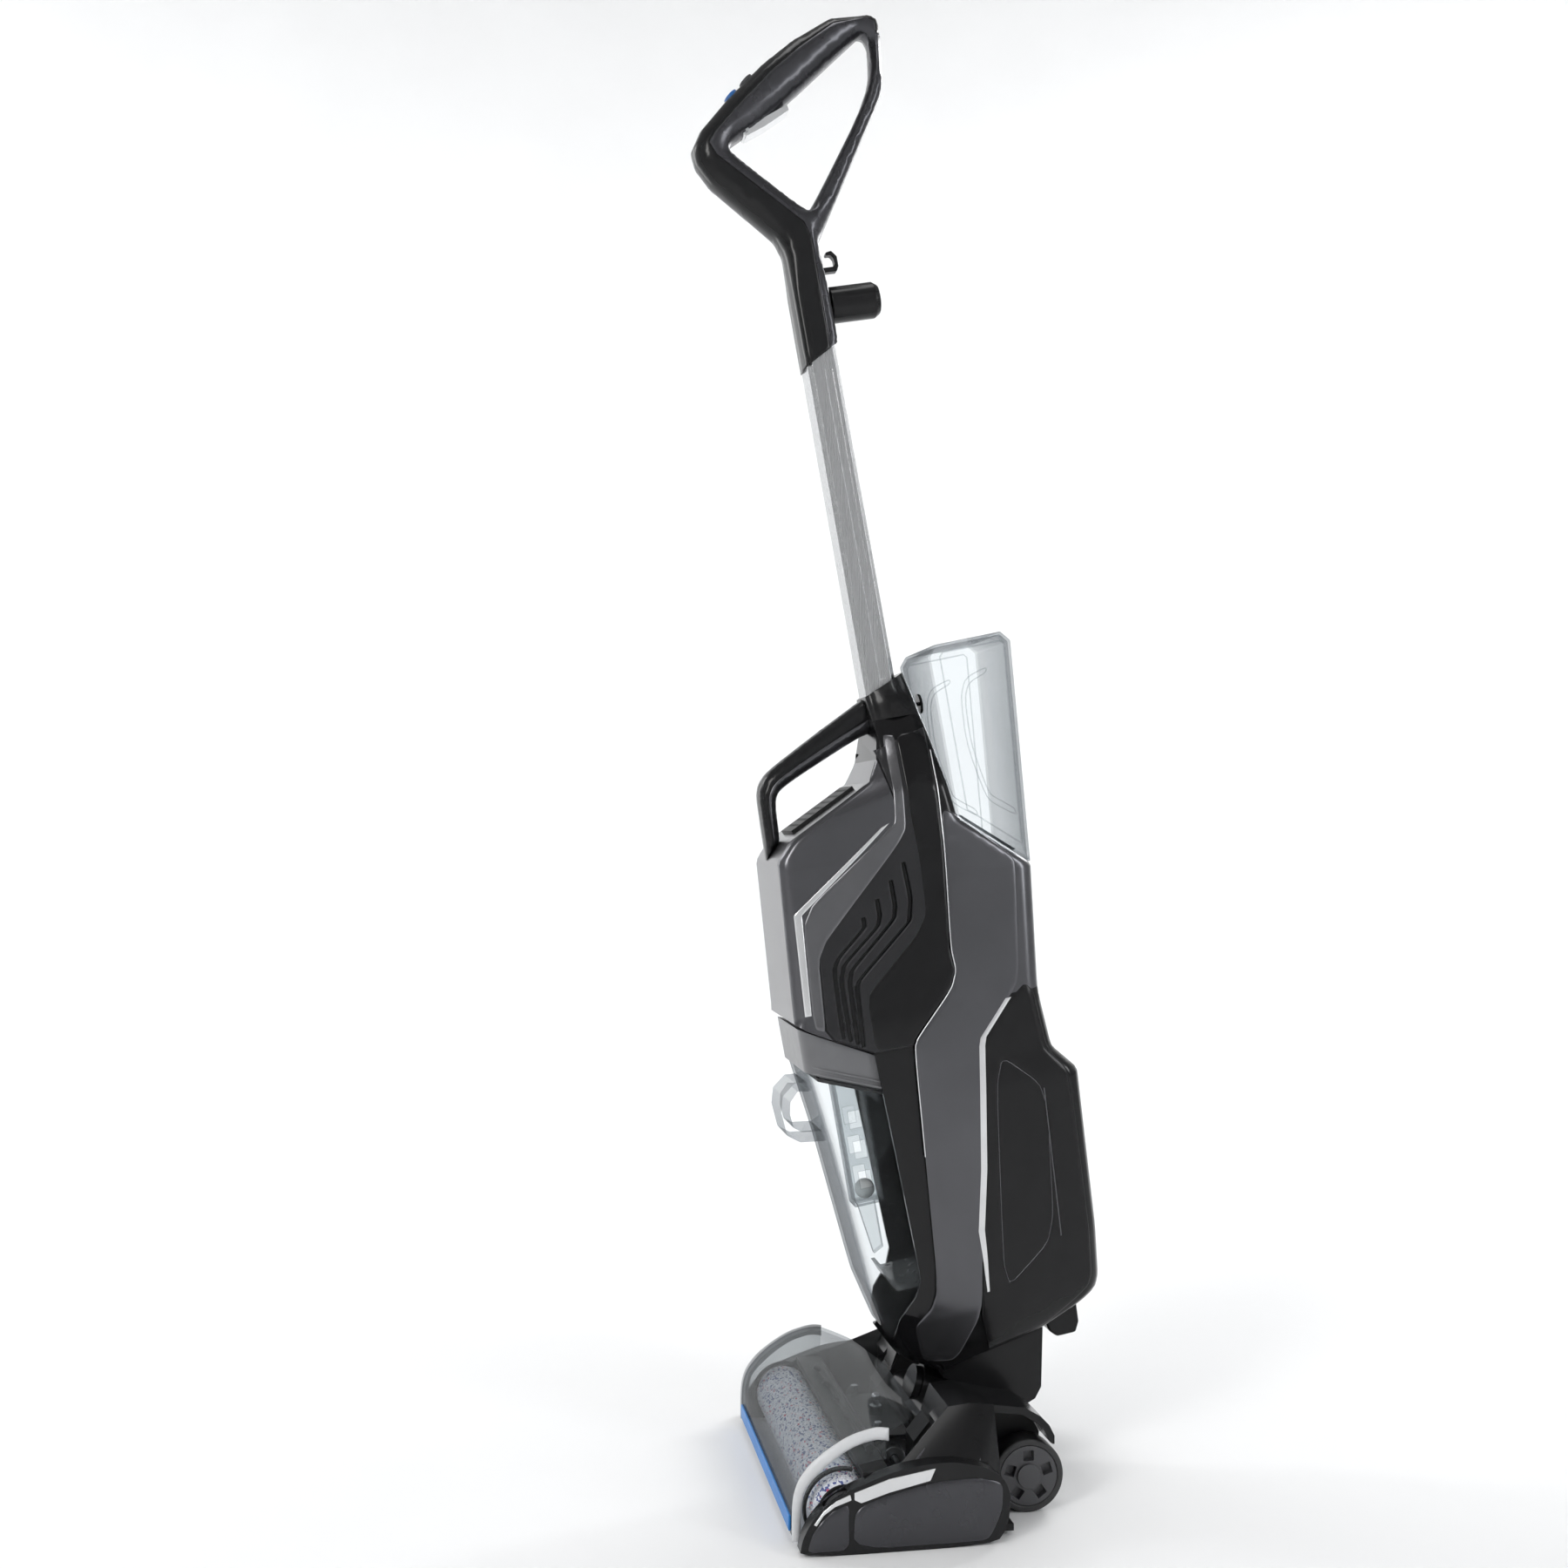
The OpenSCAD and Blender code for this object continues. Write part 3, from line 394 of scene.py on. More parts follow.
def soften_open(path, times=2, share=0.2):
    """The open line with its inner corners cut; its ends stay."""
    pts = [np.array(p, float) for p in path]
    for _ in range(times):
        new = [pts[0]]
        for k in range(1, len(pts) - 1):
            new += [pts[k] + (pts[k - 1] - pts[k]) * share, pts[k] + (pts[k + 1] - pts[k]) * share]
        pts = new + [pts[-1]]
    return [tuple(p) for p in pts]


def sampled(polygon, step):
    """The closed outline with points about a step apart."""
    out = []
    for a, b in loop_segments(polygon):
        a, b = np.array(a, float), np.array(b, float)
        n = max(1, int(round(np.linalg.norm(b - a) / step)))
        out += [tuple(a + (b - a) * k / n) for k in range(n)]
    return out


def sheet_mesh(outline, holes=(), step=2.5, rows=(0.35, 0.9, 1.8)):
    """Triangles that fill the outline, close together near its edge."""
    rings = [sampled(loop, step) for loop in [outline, *holes]]
    points, edges = [], []
    for ring in rings:
        first = len(points)
        points += ring
        edges += [(first + k, first + (k + 1) % len(ring)) for k in range(len(ring))]
    segments = [s for loop in [outline, *holes] for s in loop_segments(loop)]
    extra = []
    for ring in rings:
        arr = np.array(ring)
        tangent = np.roll(arr, -1, 0) - np.roll(arr, 1, 0)
        normal = np.c_[-tangent[:, 1], tangent[:, 0]] / np.maximum(np.linalg.norm(tangent, axis=1), 1e-9)[:, None]
        for row in rows:
            for sign in (-1, 1):
                new = arr + normal * row * sign
                extra.append(new[reach(new, segments) > row * 0.93])
    low, high = np.min(outline, 0), np.max(outline, 0)
    ys = np.arange(low[1], high[1], step * 0.87)
    grid = np.array([(x + (k % 2) * step / 2, y) for k, y in enumerate(ys) for x in np.arange(low[0], high[0], step)])
    extra.append(grid[reach(grid, segments) > rows[-1] + step * 0.4])
    extra = np.concatenate(extra)
    keep = inside(extra, outline)
    for hole in holes:
        keep &= ~inside(extra, hole)
    points += [tuple(p) for p in extra[keep]]
    made = delaunay_2d_cdt([Vector(p) for p in points], edges, [], 0, 1e-4)
    verts = np.array([(p.x, p.y) for p in made[0]])
    tris = [list(f) for f in made[2] if len(f) == 3]
    middle = np.array([verts[t].mean(0) for t in tris])
    good = inside(middle, outline)
    for hole in holes:
        good &= ~inside(middle, hole)
    tris = [t for t, ok in zip(tris, good) if ok]
    for t in tris:
        (ax, ay), (bx, by), (cx, cy) = verts[t]
        if (bx - ax) * (cy - ay) - (by - ay) * (cx - ax) < 0:
            t.reverse()
    return verts, tris


def smooth_over(values, tris, times):
    """The values averaged with their neighbours', so that no crease runs down the middle."""
    count = np.zeros(len(values))
    pairs = np.array([(t[k], t[(k + 1) % 3]) for t in tris for k in range(3)])
    np.add.at(count, pairs[:, 0], 1)
    np.add.at(count, pairs[:, 1], 1)
    for _ in range(times):
        total = np.zeros(len(values))
        np.add.at(total, pairs[:, 0], values[pairs[:, 1]])
        np.add.at(total, pairs[:, 1], values[pairs[:, 0]])
        values = 0.4 * values + 0.6 * total / np.maximum(count, 1)
    return values


def calm_normals(mesh, times):
    """Shading normals averaged with those neighbours that face nearly the same way."""
    count = len(mesh.vertices)
    normals = np.zeros(count * 3)
    mesh.vertices.foreach_get("normal", normals)
    normals = normals.reshape(-1, 3)
    pairs = np.zeros(len(mesh.edges) * 2, dtype=np.int64)
    mesh.edges.foreach_get("vertices", pairs)
    a, b = pairs[0::2], pairs[1::2]
    for _ in range(times):
        weight = np.clip((np.sum(normals[a] * normals[b], 1) - 0.6) / 0.3, 0, 1)[:, None]
        total = normals.copy()
        np.add.at(total, a, normals[b] * weight)
        np.add.at(total, b, normals[a] * weight)
        normals = total / np.maximum(np.linalg.norm(total, axis=1), 1e-9)[:, None]
    mesh.normals_split_custom_set_from_vertices(normals.tolist())


def solid(name, points, faces):
    """A closed mesh whose faces all look outwards."""
    mesh = bpy.data.meshes.new(name)
    mesh.from_pydata(points, [], faces)
    bm = bmesh.new()
    bm.from_mesh(mesh)
    bmesh.ops.recalc_face_normals(bm, faces=bm.faces)
    bm.to_mesh(mesh)
    bm.free()
    return mesh


def open_edges(tris):
    """The edges that only one triangle uses."""
    used = {(t[k], t[(k + 1) % 3]) for t in tris for k in range(3)}
    return [(a, b) for a, b in used if (b, a) not in used]


def mirrored(points, faces):
    """The points and faces with their twins on the other side of the machine."""
    n = len(points)
    return points + [(-p[0], p[1], p[2]) for p in points], faces + [tuple(n + k for k in reversed(f)) for f in faces]


def new_piece(name, mesh, material, body, replaced, sharp):
    """An object that rides on a CAD body, with its material and the CAD nodes it stands for."""
    obj = shown(name, mesh)
    mesh.materials.clear()
    mesh.materials.append(M[material])
    mesh.shade_smooth()
    mesh.set_sharp_from_angle(angle=math.radians(sharp))
    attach(obj, body)
    if replaced:
        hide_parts(replaced)
    return obj


def pillow(name, outline, place, material, body, half, radius, silhouette=None, holes=(), power=2.3, step=2.5,
           thin=0.8, base=None, times=6, replaced=None, both=False, rows=(0.35, 0.9, 1.8), calm=4):
    """A piece drawn as a side outline and rounded over towards the silhouette.

    With no base it is mirrored about the middle plane; with one it is a crowned panel that starts at that X."""
    seam_depth, seam_reach, rim_reach = 0.6, 1.2, 1.5
    verts, tris = sheet_mesh(outline, holes, step, rows)
    edge = silhouette if silhouette is not None else [s for loop in [outline, *holes] for s in loop_segments(loop)]
    span = np.array([radius(v, u) for v, u in verts]) if callable(radius) else radius
    depth = np.clip(reach(verts, edge) / span, 0, 1)
    share = (1 - (1 - depth) ** power) ** (1 / power)
    share = smooth_over(share, tris, times) * (depth > 0) + share * (depth == 0)
    x = thin + (half - thin) * share
    own = [s for loop in [outline, *holes] for s in loop_segments(sampled(loop, step))]
    centre = np.array([[(a[0] + b[0]) / 2, (a[1] + b[1]) / 2] for a, b in own])
    free = reach(centre, edge) > rim_reach
    seams = [s for s, f in zip(own, free) if f]
    if seams and silhouette is not None:
        x -= seam_depth * np.clip(1 - reach(verts, seams) / seam_reach, 0, 1) ** 2
    n = len(verts)
    if base is None:
        left = [place(x[k], *verts[k]) for k in range(n)]
        right = [place(-x[k], *verts[k]) for k in range(n)]
    else:
        left = [place(base + x[k], *verts[k]) for k in range(n)]
        right = [place(base, *verts[k]) for k in range(n)]
    faces = [tuple(t) for t in tris] + [tuple(n + k for k in reversed(t)) for t in tris]
    faces += [(a, n + a, n + b, b) for a, b in open_edges(tris)]
    points = left + right
    if both:
        points, faces = mirrored(points, faces)
    mesh = solid(name, points, faces)
    new_piece(name, mesh, material, body, replaced, 75)
    calm_normals(mesh, calm)


def table_value(table, u):
    """The value at u of a table of (u, value) rows."""
    return float(np.interp(u, [p[0] for p in table], [p[1] for p in table]))


def ring(w, v0, v1, r0, r1, crown=0.0):
    """A rounded section: half-width w, from v0 at the front to v1 at the back, with its corner radii."""
    corner, side_parts, end_parts = 7, 12, 8
    out = []
    for side, (sx, v, sv, r) in enumerate([(1, v0, 1, r0), (1, v1, -1, r1), (-1, v1, -1, r1), (-1, v0, 1, r0)]):
        angles = np.linspace(0, math.pi / 2, corner)
        if side in (1, 3):
            angles = angles[::-1]
        for a in angles:
            out.append((sx * (w - r + r * math.sin(a)), v + sv * (r - r * math.cos(a))))
        if side in (0, 2):
            a, b = (v0 + r0, v1 - r1) if side == 0 else (v1 - r1, v0 + r0)
            for k in range(1, side_parts):
                t = k / side_parts
                out.append((sx * (w + crown * math.sin(math.pi * t)), a + (b - a) * t))
        else:
            for k in range(1, end_parts):
                out.append((sx * (w - r) * (1 - 2 * k / end_parts), v))
    return out


def stack_faces(n, rows):
    """The faces of a closed solid through rows of n points each."""
    last = (rows - 1) * n
    faces = [(r + k, r + (k + 1) % n, r + n + (k + 1) % n, r + n + k) for r in range(0, last, n) for k in range(n)]
    return faces + [tuple(range(n)), tuple(reversed(range(last, last + n)))]


def loft(name, rows):
    """A closed solid through rings of (x, v) at their heights u."""
    points = [at(x, v, u) for u, section in rows for x, v in section]
    return solid(name, points, stack_faces(len(rows[0][1]), len(rows)))


def baked(mesh, steps):
    """The mesh after a list of modifiers, each (kind, {setting: value})."""
    obj = shown("work", mesh)
    for kind, values in steps:
        mod = obj.modifiers.new(kind.lower(), kind)
        for key, value in values.items():
            setattr(mod, key, value)
    bpy.context.view_layer.update()
    result = bpy.data.meshes.new_from_object(obj.evaluated_get(bpy.context.evaluated_depsgraph_get()))
    bpy.data.objects.remove(obj)
    return result


def combined(mesh, operation, others, before=(), after=()):
    """The mesh joined with others, or cut down to them, between more modifiers."""
    tools = [shown("tool", other) for other in others]
    steps = [("BOOLEAN", {"operation": operation, "solver": "MANIFOLD", "object": t}) for t in tools]
    result = baked(mesh, [*before, *steps, *after])
    for t in tools:
        bpy.data.objects.remove(t)
    return result


def prism(outline, x0, x1, place):
    """The outline as a block from x0 to x1."""
    points = [place(x, v, u) for x in (x0, x1) for v, u in outline]
    return solid("prism", points, stack_faces(len(outline), 2))


def soft_edges(obj, width, segments, angle):
    """Rounds the object's sharp edges, width millimetres wide."""
    soft = obj.modifiers.new("soft", "BEVEL")
    soft.width = width * MM
    soft.segments = segments
    soft.limit_method = "ANGLE"
    soft.angle_limit = math.radians(angle)
    soft.use_clamp_overlap = True
    return soft


def even_normals(obj):
    """Keeps flat faces looking flat beside their rounded edges."""
    normals = obj.modifiers.new("normals", "WEIGHTED_NORMAL")
    normals.weight = 60
    return normals


def carve(node, name, material, body, keep=None, bevel=0.8, segments=2, angle=30):
    """A visual piece with the CAD node's own shape, cut down to the keep mesh, with softened edges."""
    flat = ("DECIMATE", {"decimate_type": "DISSOLVE", "angle_limit": math.radians(0.35)})
    mesh = combined(NODES[node].data.copy(), "INTERSECT", [] if keep is None else [keep.copy()],
                    [("WELD", {"merge_threshold": WELD_REACH})], [flat])
    for attribute in ("custom_normal", "sharp_edge", "sharp_face"):
        if attribute in mesh.attributes:
            mesh.attributes.remove(mesh.attributes[attribute])
    obj = new_piece(name, mesh, material, body, node, 35)
    soft_edges(obj, bevel, segments, angle)
    even_normals(obj)
    return obj


# Half-widths of the body, its front and its back, each as (height u, value), from the bottom up
HALF = [(-545, 33), (-520, 42), (-490, 52), (-450, 60), (-330, 64), (-260, 66), (-130, 66), (-90, 61), (-45, 42),
        (-12, 24), (10, 22)]
FRONT = [(-548, -50), (-536, -61), (-521, -82.5), (-508, -90), (-487, -92), (-470, -135), (-262, -135),
         (-248, -122.2), (-124, -113.2), (-110, -100.4), (-76, -30.5), (-60, -20.5), (-30, -15), (10, -15)]
BACK = [(-548, -48), (-539, -44), (-525, 35.5), (-509, 71.2), (-501, 82.3), (-491, 85.2), (-325, 94), (-304, 76.2),
        (-268, 73.4), (-254, 73.4), (-160, 85.2), (-115, 34.5), (-30, 25.2), (-13, 24.2), (5, 20.2), (10, 19)]
CROWN = 4.0  # how far the body's sides bulge
FRONT_RADIUS, BACK_RADIUS, TOP_RADIUS = 11, 13, 7
FIT = 0.12  # what the visible skin stays inside the CAD's sides


def eased(table, u, window=3.0):
    """The table's value at u, averaged over the window on either side."""
    return sum(table_value(table, u + k * window) for k in (-1, -0.5, 0, 0.5, 1)) / 5


def corner_room(w, v0, v1):
    """The largest corner radius that fits into a section."""
    return min(w * 0.62, (v1 - v0) * 0.45)


def section(u):
    """The body's rounded section at a height: half-width at its corners, front, back and the two corner radii."""
    w = eased(HALF, u, 5) - FIT
    v0, v1 = eased(FRONT, u), eased(BACK, u)
    v1 = max(v1, v0 + 4)
    room = corner_room(w, v0, v1)
    near_top = float(np.clip((u + 150) / 110, 0, 1))
    r0, r1 = (min(r * (1 - near_top) + TOP_RADIUS * near_top, room) for r in (FRONT_RADIUS, BACK_RADIUS))
    return w - CROWN, v0, v1, r0, r1


def envelope():
    """The body's rounded outer form, which the CAD's body pieces are cut down to."""
    return loft("envelope", [(u, ring(*section(u), crown=CROWN)) for u in np.arange(-547, 10.1, 4.0)])


def skin_x(v, u):
    """How far out the body's rounded surface is at a place of its side."""
    w, v0, v1, r0, r1 = section(u)
    if v < v0 + r0:
        return w - r0 + math.sqrt(max(0.0, r0 * r0 - max(0.0, v0 + r0 - v) ** 2))
    if v > v1 - r1:
        return w - r1 + math.sqrt(max(0.0, r1 * r1 - max(0.0, v - v1 + r1) ** 2))
    return w + CROWN * math.sin(math.pi * (v - v0 - r0) / max(v1 - r1 - v0 - r0, 1e-6))


def skin_plate(name, outline, material, lift, thick=2.6, holes=(), replaced=None, seam=0.7, step=3.0, reach_in=1.4):
    """A panel on both sides of the body that follows its rounded surface, with softened edges."""
    verts, tris = sheet_mesh(outline, holes, step, (0.3, 0.7, 1.4))
    own = [s for loop in [outline, *holes] for s in loop_segments(loop)]
    drop = seam * np.clip(1 - reach(verts, own) / reach_in, 0, 1) ** 2
    surface = np.array([skin_x(v, u) for v, u in verts])
    outer, inner = surface + lift - drop, surface + lift - thick
    n = len(verts)
    points = [at(outer[k], *verts[k]) for k in range(n)] + [at(inner[k], *verts[k]) for k in range(n)]
    faces = [tuple(t) for t in tris] + [tuple(n + k for k in reversed(t)) for t in tris]
    faces += [(a, n + a, n + b, b) for a, b in open_edges(tris)]
    new_piece(name, solid(name, *mirrored(points, faces)), material, "upright", replaced, 45)


# ---- finishing CAD nodes

def finish_node(name, material, bevel):
    """A CAD node keeps its shape: its edges are softened by modifiers, and it gets its material."""
    obj = NODES[name]
    obj.data.materials.clear()
    obj.data.materials.append(M[material])
    for polygon in obj.data.polygons:
        polygon.use_smooth = True
    weld = obj.modifiers.new("weld", "WELD")
    weld.merge_threshold = WELD_REACH
    if bevel:
        flat = obj.modifiers.new("flat", "DECIMATE")
        flat.decimate_type = "DISSOLVE"
        flat.angle_limit = math.radians(0.4)
        soft_edges(obj, bevel, 2, 32).miter_outer = "MITER_ARC"
    even_normals(obj).keep_sharp = True


# The CAD nodes that are shown as they are, each with its material and the width of its softened edges in millimetres
PLAIN = {
    "foot_base": ("grain", 0.6), "head_trims": ("silver", 0.4), "brush_motor": ("motor", 0.8),
    "motor_pulley": ("steel", 0.3), "drive_belt": ("rubber", 0), "drive_hub": ("hub", 0.5),
    "spray_bar": ("grain", 0.2), "squeegee": ("rubber", 0.4), "wheel_axles": ("steel", 0.4),
    "foot_screws": ("steel", 0.2), "latch_pins": ("steel", 0.4), "wheel_left": ("hub", 0.8),
    "wheel_right": ("hub", 0.8), "tyre_left": ("tyre", 1.6), "tyre_right": ("tyre", 1.6),
    "window_seal": ("rubber", 0.5), "bumper_strip": ("blue", 0.7), "roll_end_tab": ("pink", 0.8),
    "roll_core": ("grain", 0.4), "roll_socket": ("grain", 0.5), "recline_yoke": ("black", 1.2),
    "intake_grille": ("grain", 0.2), "suction_motor": ("motor", 1.5), "water_pump": ("green", 1.0),
    "suction_duct": ("grain", 0.5), "lower_cord_wrap": ("black", 2.0), "handle_tube": ("alu", 0.5),
    "cord_clip": ("black", 0.8), "upper_cord_wrap": ("grey_rear", 1.2), "trigger": ("silver", 1.2),
    "trigger_pin": ("steel", 0.2), "trigger_spring": ("steel", 0.1), "power_button": ("button", 0.8),
    "mode_button": ("hub", 0.8), "clean_tank_cap": ("black", 0.6), "vent_valve": ("black", 0.4),
    "lid_seal": ("rubber", 0.4), "float_cage": ("clear_part", 0.4), "float_ball": ("float", 0),
    "strainer": ("smoke", 0.4),
}

set_camera()
set_lights()
set_floor()
for node_name, (material, bevel) in PLAIN.items():
    finish_node(node_name, material, bevel)


# ---- body

shell = envelope()
SIDE = [(19, -105), (6.5, -212), (7.5, -230), (1.5, -243.5), (-31, -275), (-35, -282), (-42, -376), (-49, -471),
        (-55, -484), (-70, -496), (-66, -528), (-40, -532), (-16, -497), (-7, -431), (3, -385), (18, -291),
        (20, -285), (46, -259), (57, -246), (70, -158), (68, -151), (34, -116), (30, -112)]
BACK_SIDE = [(60, -250), (67, -258), (70, -304), (84.5, -325), (77.5, -486), (73, -496), (64, -503), (35, -521),
             (-12, -530), (-16, -497.5), (-6.5, -431), (3.5, -385), (18.5, -291.5), (20.5, -285.5), (46.5, -259.5)]
VENT_SIDE = [(-19.5, -53), (-13.5, -118), (-95, -195.5), (-99.5, -256), (-94.5, -264.5), (-66, -280), (-36, -280.5),
             (-32.5, -274), (0.5, -243), (6.5, -230), (5.5, -212), (18.5, -104), (23.5, -41)]
BAND = [(-11, -42), (-15.5, -87), (-19, -110), (-24, -114), (-102.5, -166), (-108, -243), (-107.5, -254),
        (-100.5, -257), (-95.8, -196.5), (-20, -127), (-11, -116), (-6.5, -80), (-2.5, -44)]
CENTRE = [(-1.5, -44), (-4, -80), (-6.1, -104), (-6.3, -143), (-8.6, -183), (-19.7, -198.6), (-62.5, -233.7),
          (-65.5, -247), (-65.5, -279), (-36, -280), (-32.5, -274), (0, -243), (6, -230), (5, -212), (18, -104),
          (22.5, -44)]
SLOT_PATHS = [[(-19, -141), (-18, -168), (-22, -186), (-28, -191), (-68, -223), (-71, -228), (-74, -274)],
              [(-31, -153), (-31, -173), (-34, -183), (-73, -215), (-76, -224), (-78, -271)],
              [(-44, -165), (-44, -178), (-47, -186), (-78, -210), (-82, -221), (-83, -268)],
              [(-57, -177), (-57, -184), (-61, -188), (-81, -204), (-86, -212), (-88, -265)]]
SLOT_HALF = 1.8
SLOTS = [soften([(v + SLOT_HALF, u) for v, u in path] + [(v - SLOT_HALF, u) for v, u in path[::-1]], 2, 0.12)
         for path in SLOT_PATHS]
RECESS = soften([(27, -298), (63, -334), (49.5, -448), (2, -484)], 3, 0.14)
STRIPES = [[(-24, -110), (-30.5, -112), (-109, -166), (-114, -243), (-109, -243), (-103, -167)],
           [(47, -259), (42.5, -259), (17.2, -285), (15.2, -291), (0, -385), (-10, -431), (-10, -480), (-8, -480),
            (-5, -431), (5, -385), (20, -291), (22, -285)]]

# The tank bay's outside, above the rear cover, is grey and the rest of the core is black
GREY_LOW, GREY_TOP = -256, -108
core = carve("body_shell", "body_core", "gloss", "upright", shell, 0.9)
core.data.materials.append(M["grey"])
split = bmesh.new()
split.from_mesh(core.data)
bmesh.ops.bisect_plane(split, geom=split.verts[:] + split.edges[:] + split.faces[:],
                       plane_co=at(0, 0, GREY_LOW), plane_no=(0, -SIN, COS))
split.to_mesh(core.data)
split.free()
for polygon in core.data.polygons:
    y, z = polygon.center.y - ORIGIN_Y, polygon.center.z - ORIGIN_Z
    v, u = (y * COS + z * SIN) / MM, (z * COS - y * SIN) / MM
    outward = polygon.normal.y * COS + polygon.normal.z * SIN
    if GREY_LOW < u < GREY_TOP and v > 27 and (abs(polygon.center.x) > 0.0505 or (outward > 0.5 and v > 70)):
        polygon.material_index = 1
carve("motor_housing", "housing", "grey", "upright", shell)
skin_plate("vents", VENT_SIDE, "grey_vent", 0.3, 2.2, SLOTS, "vent_panels", seam=0.6, step=2.0, reach_in=0.9)
carve("rear_cover", "back_cover", "grey_rear", "upright", shell)
carve("tube_collar", "collar", "black", "upright", shell)
carve("swivel_neck", "neck", "black", "upright", bevel=6.0, segments=4)
skin_plate("housing_band", soften(BAND, 2, 0.12), "grey_light", 0.6, 1.8, seam=0.6, step=2.4)
skin_plate("centre_panel", soften(CENTRE, 2, 0.12), "gloss", 0.6, 1.8, seam=0.6, step=2.6)
skin_plate("side_shells", soften(SIDE, 2, 0.14), "grey", 0.4, replaced="body_side_panels")
skin_plate("back_cover_sides", soften(BACK_SIDE, 2, 0.14), "grey_rear", 0.4, holes=[RECESS], seam=0.8)
skin_plate("back_cover_recess", RECESS, "black", -1.2, 1.5, seam=0.2)
for k, outline in enumerate(STRIPES):
    skin_plate("side_stripe_%d" % (k + 1), outline, "silver", 0.75, 1.6, (), "side_stripes", 0.25, 1.6, 0.8)


# ---- handle

HOLE = [(-43, 441), (-29, 448), (8, 469), (71, 513), (82, 520), (86, 512), (80, 473), (15, 384), (10, 382),
        (-41, 434)]
LINE = [(7, 268), (8, 355), (4, 370), (-56, 431), (-60, 441), (-52, 450), (-32, 467), (0, 492), (26, 509), (56, 525),
        (84, 528), (90, 524), (90, 516)]
OUTER = [(96, 516), (96, 528), (90, 533.5), (55, 533.5), (22, 519), (-5, 503), (-38, 478), (-64, 455), (-73, 441),
         (-72, 429), (-63, 412), (-19, 363), (-14.5, 350), (-14.5, 256)]
INNER = [(96, 516), (91, 477), (88, 468), (15, 355), (16, 274)]
FOOT_U = 275.5  # below it the handle's end is cut straight across, where it meets the tube
ROUND_ROWS = (0.3, 0.8, 1.5, 2.5, 3.8, 5.4, 7.4, 9.8)
hole = soften(HOLE, 2, 0.2)
edge = [s for s in loop_segments(sampled(INNER[::-1] + OUTER[1:], 3))
        if max(s[0][1], s[1][1]) > FOOT_U or abs(s[0][0] - s[1][0]) < 0.2]
edge += loop_segments(hole)


def handle_round(v, u):
    """The radius of the handle's edges: small where it meets the tube, full round the loop."""
    return 2.4 + 11.6 * min(1.0, max(0.0, (u - 318) / 60))


pillow("handle_grip_band", LINE + OUTER, at, "black", "upright", 19, handle_round, edge, step=2.2, power=2.1,
       replaced="handle_band", rows=ROUND_ROWS, times=3)
pillow("handle_inner_shell", LINE + INNER, at, "grey_dark", "upright", 19, handle_round, edge, [hole], step=2.2,
       power=2.1, replaced="handle_shell", rows=ROUND_ROWS, times=3, calm=14)

# ---- carry handle

CARRY_OUT = soften_open([(-14.5, -11), (-61, -34), (-101, -55), (-109, -64), (-112, -74), (-113, -124)])
CARRY_MID = soften_open([(-106.3, -117), (-105, -79), (-101.5, -69), (-92, -61), (-45, -39.5), (-14.5, -28)])
CARRY_IN = soften_open([(-100, -110), (-98, -78), (-91, -69), (-24, -41), (-14.5, -39)])
ROOT_V = -15  # behind it the carry handle ends in the body
edge = [s for s in loop_segments(sampled(CARRY_OUT + CARRY_IN, 2)) if not (s[0][0] > ROOT_V and s[1][0] > ROOT_V)]
for name, outline, material in (("carry_grip", CARRY_OUT + CARRY_MID, "black"),
                                ("carry_grip_inside", CARRY_IN + CARRY_MID[::-1], "grey")):
    pillow(name, outline, at, material, "upright", 13.8, 7, edge, step=1.8, power=2.0, replaced="carry_handle",
           rows=ROUND_ROWS[:6], times=3)


# ---- tanks

def cut_open(mesh, point, normal):
    """The closed solid without what lies above the plane, left open there."""
    bm = bmesh.new()
    bm.from_mesh(mesh)
    bmesh.ops.bisect_plane(bm, geom=bm.verts[:] + bm.edges[:] + bm.faces[:], plane_co=point, plane_no=normal,
                           clear_outer=True)
    bm.to_mesh(mesh)
    bm.free()
    return mesh


TANK_GAP = 7.1
WALL = 0.0022


def tank_ring_rows(front, back, low, high, step, r_front, r_back):
    """Sections that stay a gap inside the body's sides and draw in a little at the bottom."""
    rows = []
    for u in np.arange(low, high + 0.1, step):
        w = eased(HALF, u, 5) - TANK_GAP
        v0, v1 = eased(front, u, 1.5), eased(back, u, 1.5)
        v1 = max(v1, v0 + 3)
        room = corner_room(w, v0, v1)
        foot = min(1.0, 0.25 + (u - low) / 14)
        rows.append((u, ring(w * (1 - 0.16 * (1 - foot)), v0, v1, min(r_front, room), min(r_back, room))))
    return rows


TANK_FRONT = [(-519, -50), (-513, -80), (-508, -85.5), (-503, -89), (-464, -98), (-348, -109), (-288, -117),
              (-270, -119.5)]
TANK_BACK = [(-519, -40), (-513, 8), (-508, 14), (-504, 15.6), (-345, 20), (-270, 20)]
rim_a, rim_b = Vector(at(0, -117, -288.0)), Vector(at(0, 20, -344.8))
rim_normal = Vector((1, 0, 0)).cross(rim_b - rim_a).normalized()
if rim_normal.z < 0:
    rim_normal.negate()
tank = cut_open(loft("tank", tank_ring_rows(TANK_FRONT, TANK_BACK, -518.6, -272, 3.4, 17, 13)), rim_a, rim_normal)
tank = baked(tank, [("SOLIDIFY", {"thickness": WALL, "offset": -1.0, "use_rim": True})])
new_piece("dirty_tank_shell", tank, "clear", "dirty_tank", "dirty_tank", 50)
grip_zone = prism([(-150, -290), (-117.4, -290), (-108.8, -350), (-150, -350)], -30, 30, at)
carve("dirty_tank", "dirty_tank_grip", "clear", "dirty_tank", grip_zone, 1.0, 3)
pipe_zone = prism([(-39, -512), (-11, -512), (-11, -360), (-39, -360)], -14, 14, at)
carve("dirty_tank", "dirty_tank_standpipe", "clear", "dirty_tank", pipe_zone, 0.5)
